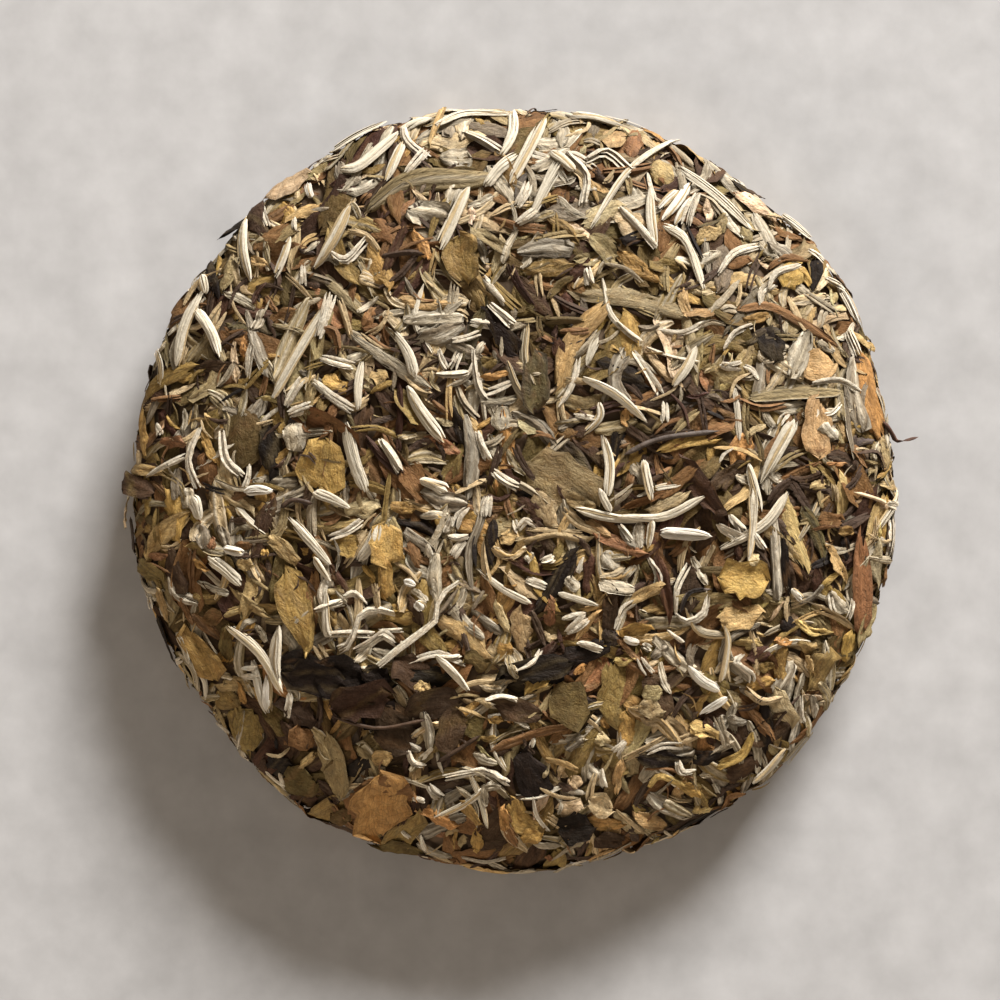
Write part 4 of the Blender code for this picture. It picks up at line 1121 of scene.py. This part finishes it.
# %% Materials
FIBRE_STRETCH = 0.12     # how fast the pattern changes along a fibre, next to across it
CRUMPLE_RELIEF = 1.4 * MM
FIBRE_RELIEF = 0.12 * MM
BASE_SIDE, OTHER_SIDE, RESULT = 6, 7, 2    # the colour sockets of a mix node


def node(tree, kind, links=(), **settings):
    """Add a node, set its properties and sockets, and link (socket, source) pairs into it."""
    new = tree.nodes.new(kind)
    for name, value in settings.items():
        if hasattr(new, name):
            setattr(new, name, value)
        else:
            new.inputs[name.replace("_", " ")].default_value = value
    for socket, source in links:
        tree.links.new(source, new.inputs[socket])
    return new


def leaf_material(name, fibre_mm, blotch_mm, fibre_depth, blotch_colour, vein_depth, bump,
                  roughness, gloss=0.25):
    """Dry leaf: the tint with darker fibres and veins, and blotches of another hue.

    Sizes are in mm. A depth is how much darker the pattern is at its darkest.
    """
    material = bpy.data.materials.new(name)
    material.use_nodes = True
    tree = material.node_tree
    shader = tree.nodes["Principled BSDF"]
    shader.inputs["Roughness"].default_value = roughness
    shader.inputs["Specular IOR Level"].default_value = gloss
    tint = node(tree, "ShaderNodeAttribute", attribute_name="tint")
    grain = node(tree, "ShaderNodeUVMap", uv_map="grain")
    stretch = node(tree, "ShaderNodeMapping", [("Vector", grain.outputs["UV"])],
                   Scale=(FIBRE_STRETCH / fibre_mm, 1 / fibre_mm, 1))
    fibres = node(tree, "ShaderNodeTexNoise", [("Vector", stretch.outputs["Vector"])],
                  Scale=1.0, Detail=3.0, Roughness=0.65)
    blotch_map = node(tree, "ShaderNodeMapping", [("Vector", grain.outputs["UV"])],
                      Scale=(1 / blotch_mm, 1 / blotch_mm, 1))
    blotches = node(tree, "ShaderNodeTexNoise", [("Vector", blotch_map.outputs["Vector"])],
                    Scale=1.0, Detail=5.0, Roughness=0.7)
    bent = node(tree, "ShaderNodeVectorMath",
                [(0, blotch_map.outputs["Vector"]), (1, blotches.outputs["Color"])], operation="ADD")
    cells = node(tree, "ShaderNodeTexVoronoi", [("Vector", bent.outputs["Vector"])],
                 feature="DISTANCE_TO_EDGE", Scale=1.3)
    veins = node(tree, "ShaderNodeMapRange", [("Value", cells.outputs["Distance"])],
                 From_Min=0.0, From_Max=0.08, To_Min=1 - vein_depth, To_Max=1.0)
    streak = node(tree, "ShaderNodeMapRange", [("Value", fibres.outputs["Fac"])],
                  From_Min=0.36, From_Max=0.62, To_Min=1 - fibre_depth, To_Max=1.12)
    dark = node(tree, "ShaderNodeMath",
                [(0, veins.outputs["Result"]), (1, streak.outputs["Result"])], operation="MULTIPLY")
    lined = node(tree, "ShaderNodeVectorMath",
                 [(0, tint.outputs["Color"]), ("Scale", dark.outputs["Value"])], operation="SCALE")
    patch = node(tree, "ShaderNodeMapRange", [("Value", blotches.outputs["Fac"])],
                 From_Min=0.42, From_Max=0.7, To_Min=0.0, To_Max=1.0)
    hue = node(tree, "ShaderNodeMix", data_type="RGBA", blend_type="MULTIPLY")
    hue.inputs[OTHER_SIDE].default_value = (*linear(blotch_colour), 1)
    tree.links.new(patch.outputs["Result"], hue.inputs[0])
    tree.links.new(lined.outputs["Vector"], hue.inputs[BASE_SIDE])
    crumple = node(tree, "ShaderNodeBump", [("Height", blotches.outputs["Fac"])],
                   Strength=bump, Distance=CRUMPLE_RELIEF)
    relief = node(tree, "ShaderNodeBump",
                  [("Height", dark.outputs["Value"]), ("Normal", crumple.outputs["Normal"])],
                  Strength=bump, Distance=FIBRE_RELIEF)
    tree.links.new(hue.outputs[RESULT], shader.inputs["Base Color"])
    tree.links.new(relief.outputs["Normal"], shader.inputs["Normal"])
    return material


def core_material():
    """Packed wet-pressed leaf in deep shade: dark brown, mottled at 3 mm."""
    material = bpy.data.materials.new("packed_leaf")
    material.use_nodes = True
    tree = material.node_tree
    shader = tree.nodes["Principled BSDF"]
    shader.inputs["Roughness"].default_value = 0.9
    place = node(tree, "ShaderNodeTexCoord")
    mottle = node(tree, "ShaderNodeTexNoise", [("Vector", place.outputs["Object"])],
                  Scale=1 / (3 * MM), Detail=4.0)
    ramp = node(tree, "ShaderNodeValToRGB", [("Fac", mottle.outputs["Fac"])])
    ramp.color_ramp.elements[0].color = (*linear("#4c3e2f"), 1)
    ramp.color_ramp.elements[1].color = (*linear("#7c644a"), 1)
    tree.links.new(ramp.outputs["Color"], shader.inputs["Base Color"])
    return material


# %% [markdown]
# Every kind gets its material and is attached to the cake: it rides on the root and takes the
# place of the modelled cake's skin.

# %% Finish and attach every kind
# Dried leaf: withered flat, so it keeps its net of veins. Matt, with slightly browner blotches.
LEAF = leaf_material("dried_leaf", fibre_mm=0.45, blotch_mm=2.6, fibre_depth=0.24,
                     blotch_colour="#e0d3c1", vein_depth=0.32, bump=0.65, roughness=0.6)
# Wet-pressed leaf: steamed and bruised nearly black, so its veins hardly show.
DARK_LEAF = leaf_material("dark_leaf", fibre_mm=0.45, blotch_mm=2.6, fibre_depth=0.25,
                          blotch_colour="#dacbbc", vein_depth=0.25, bump=0.65, roughness=0.6,
                          gloss=0.1)
# Rolled leaf: the downy underside is out, pleated into grey and silver stripes.
ROLLED_LEAF = leaf_material("rolled_leaf", fibre_mm=0.3, blotch_mm=3.0, fibre_depth=0.36,
                            blotch_colour="#e4ddd2", vein_depth=0.12, bump=0.6, roughness=0.65)
# Bud down: fine pale hairs laid along the bud, with no veins and hardly any sheen.
DOWN = leaf_material("bud_down", fibre_mm=0.22, blotch_mm=3.0, fibre_depth=0.2,
                     blotch_colour="#f1ece2", vein_depth=0.0, bump=0.4, roughness=0.8)
# Torn leaf: narrow shreds with their fibres bare.
TORN = leaf_material("torn_leaf", fibre_mm=0.25, blotch_mm=2.0, fibre_depth=0.32,
                     blotch_colour="#e1d4c5", vein_depth=0.15, bump=0.5, roughness=0.7)
# Dried stem: woody, ridged along its length.
WOOD = leaf_material("dried_stem", fibre_mm=0.4, blotch_mm=4.0, fibre_depth=0.35,
                     blotch_colour="#dacbbc", vein_depth=0.0, bump=0.4, roughness=0.6)
FINISHES = (
    (FLAT, LEAF), (DARK, DARK_LEAF), (CHIP, LEAF), (ROLLED, ROLLED_LEAF), (DARK_ROLLED, DARK_LEAF),
    (BUD_BODY, DOWN), (SCALE, DOWN), (SHRED, TORN), (STEM, WOOD),
)
core = core_object()
core.data.materials.append(core_material())
pieces = [core]
for kind, finish in FINISHES:
    piece = kind_object(kind)
    piece.data.materials.append(finish)
    pieces.append(piece)
for piece in pieces:
    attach(piece, "root")
    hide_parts("tea_cake")
total = sum(sum(len(face.vertices) - 2 for face in piece.data.polygons) for piece in pieces)
print("triangles in all:", total)

# %% [markdown]
# The floor is only a stage. It is like honed pale stone: ground flat and left matt, with faint
# clouds in its grey. It has to be plain, so that the cake's soft shadow reads on it.

# %% Floor
FLOOR_SIZE = 4.0         # m
floor_mesh = bpy.data.meshes.new("floor")
half = FLOOR_SIZE / 2
corners = [(-half, -half, 0), (half, -half, 0), (half, half, 0), (-half, half, 0)]
floor_mesh.from_pydata(corners, [], [(0, 1, 2, 3)])
floor = bpy.data.objects.new("floor", floor_mesh)
bpy.context.scene.collection.objects.link(floor)
stone = bpy.data.materials.new("pale_stone")
stone.use_nodes = True
tree = stone.node_tree
where = node(tree, "ShaderNodeTexCoord")
cloud = node(tree, "ShaderNodeTexNoise", [("Vector", where.outputs["Object"])],
             Scale=1 / (12 * MM), Detail=5.0, Roughness=0.55)
ramp = node(tree, "ShaderNodeValToRGB", [("Fac", cloud.outputs["Fac"])])
ramp.color_ramp.elements[0].position = 0.25
ramp.color_ramp.elements[0].color = (*linear("#b7b5b2"), 1)
ramp.color_ramp.elements[1].position = 0.75
ramp.color_ramp.elements[1].color = (*linear("#cccac7"), 1)
tree.links.new(ramp.outputs["Color"], tree.nodes["Principled BSDF"].inputs["Base Color"])
tree.nodes["Principled BSDF"].inputs["Roughness"].default_value = 0.85
floor.data.materials.append(stone)

# %% [markdown]
# The photograph's shadow falls a long way down and a little to the left, with a soft edge. So the
# light is one soft window-like source, low, above and a little right of the frame, with a weak
# reflector across from it and a dim warm fill from all round. The shadow's length gives the
# light's height, once the cake's own height is assumed: the shoulder that casts its far edge is
# about 20 mm high and 12 mm inside the outline, and the shadow reaches about 46 mm past the
# outline before it fades. The arctangent of 20 / (12 + 46) is about 19 degrees.

# %% Light
LIGHT_AZIMUTH = math.radians(66)
LIGHT_HEIGHT = math.radians(18.8)
LIGHT_DISTANCE = 3.0     # m
KEY_WIDTH, KEY_TALL = 1.3, 0.6
KEY_POWER = 248.0        # W
FILL_DISTANCE = 2.0
FILL_HEIGHT = math.radians(18)
FILL_WIDTH, FILL_TALL = 1.5, 1.0
FILL_POWER = 14.0
SKY_STRENGTH = 0.19


def area_light(name, place, width, tall, power, colour):
    """A window-like light that faces the cake."""
    data = bpy.data.lights.new(name, "AREA")
    data.shape = "RECTANGLE"
    data.size = width
    data.size_y = tall
    data.energy = power
    data.color = linear(colour)
    lamp = bpy.data.objects.new(name, data)
    bpy.context.scene.collection.objects.link(lamp)
    lamp.location = place
    away = np.array(place) / np.linalg.norm(place)
    lamp.rotation_euler = (math.acos(away[2]), 0.0, math.atan2(away[0], -away[1]))
    return lamp


def round_the_cake(distance, azimuth, height):
    """A place at a distance from the origin, at an azimuth and a height in radians."""
    level = distance * math.cos(height)
    return level * math.cos(azimuth), level * math.sin(azimuth), distance * math.sin(height)


key_place = round_the_cake(LIGHT_DISTANCE, LIGHT_AZIMUTH, LIGHT_HEIGHT)
area_light("key", key_place, KEY_WIDTH, KEY_TALL, KEY_POWER, "#fffeff")
fill_place = round_the_cake(FILL_DISTANCE, LIGHT_AZIMUTH + math.pi, FILL_HEIGHT)
area_light("reflector", fill_place, FILL_WIDTH, FILL_TALL, FILL_POWER, "#ffefdf")
world = bpy.data.worlds.new("sky")
world.use_nodes = True
background = world.node_tree.nodes["Background"]
background.inputs["Color"].default_value = (*linear("#fff0e0"), 1)
background.inputs["Strength"].default_value = SKY_STRENGTH
bpy.context.scene.world = world
bpy.context.scene.view_settings.view_transform = "Standard"

# %% [markdown]
# The camera looks straight down. The photograph's frame is 250 mm wide at the cake's outline, and
# the cake's centre is a few millimetres right of and above the middle of the frame.

# %% Camera
FRAME_WIDTH = 250.0 * MM
CAKE_PIXEL = (517, 492)  # where the cake's centre lies in the photograph's frame
FRAME_PIXELS = 1000
LENS = 120.0             # mm
SENSOR = 36.0            # mm
camera_data = bpy.data.cameras.new("camera")
camera_data.lens = LENS
camera_data.sensor_width = SENSOR
camera_data.clip_end = 20.0
camera = bpy.data.objects.new("camera", camera_data)
bpy.context.scene.collection.objects.link(camera)
pixel = FRAME_WIDTH / FRAME_PIXELS
camera_x = (FRAME_PIXELS / 2 - CAKE_PIXEL[0]) * pixel
camera_y = (CAKE_PIXEL[1] - FRAME_PIXELS / 2) * pixel
camera_z = EDGE_HEIGHT * MM + FRAME_WIDTH * LENS / SENSOR
camera.location = (camera_x, camera_y, camera_z)
bpy.context.scene.camera = camera
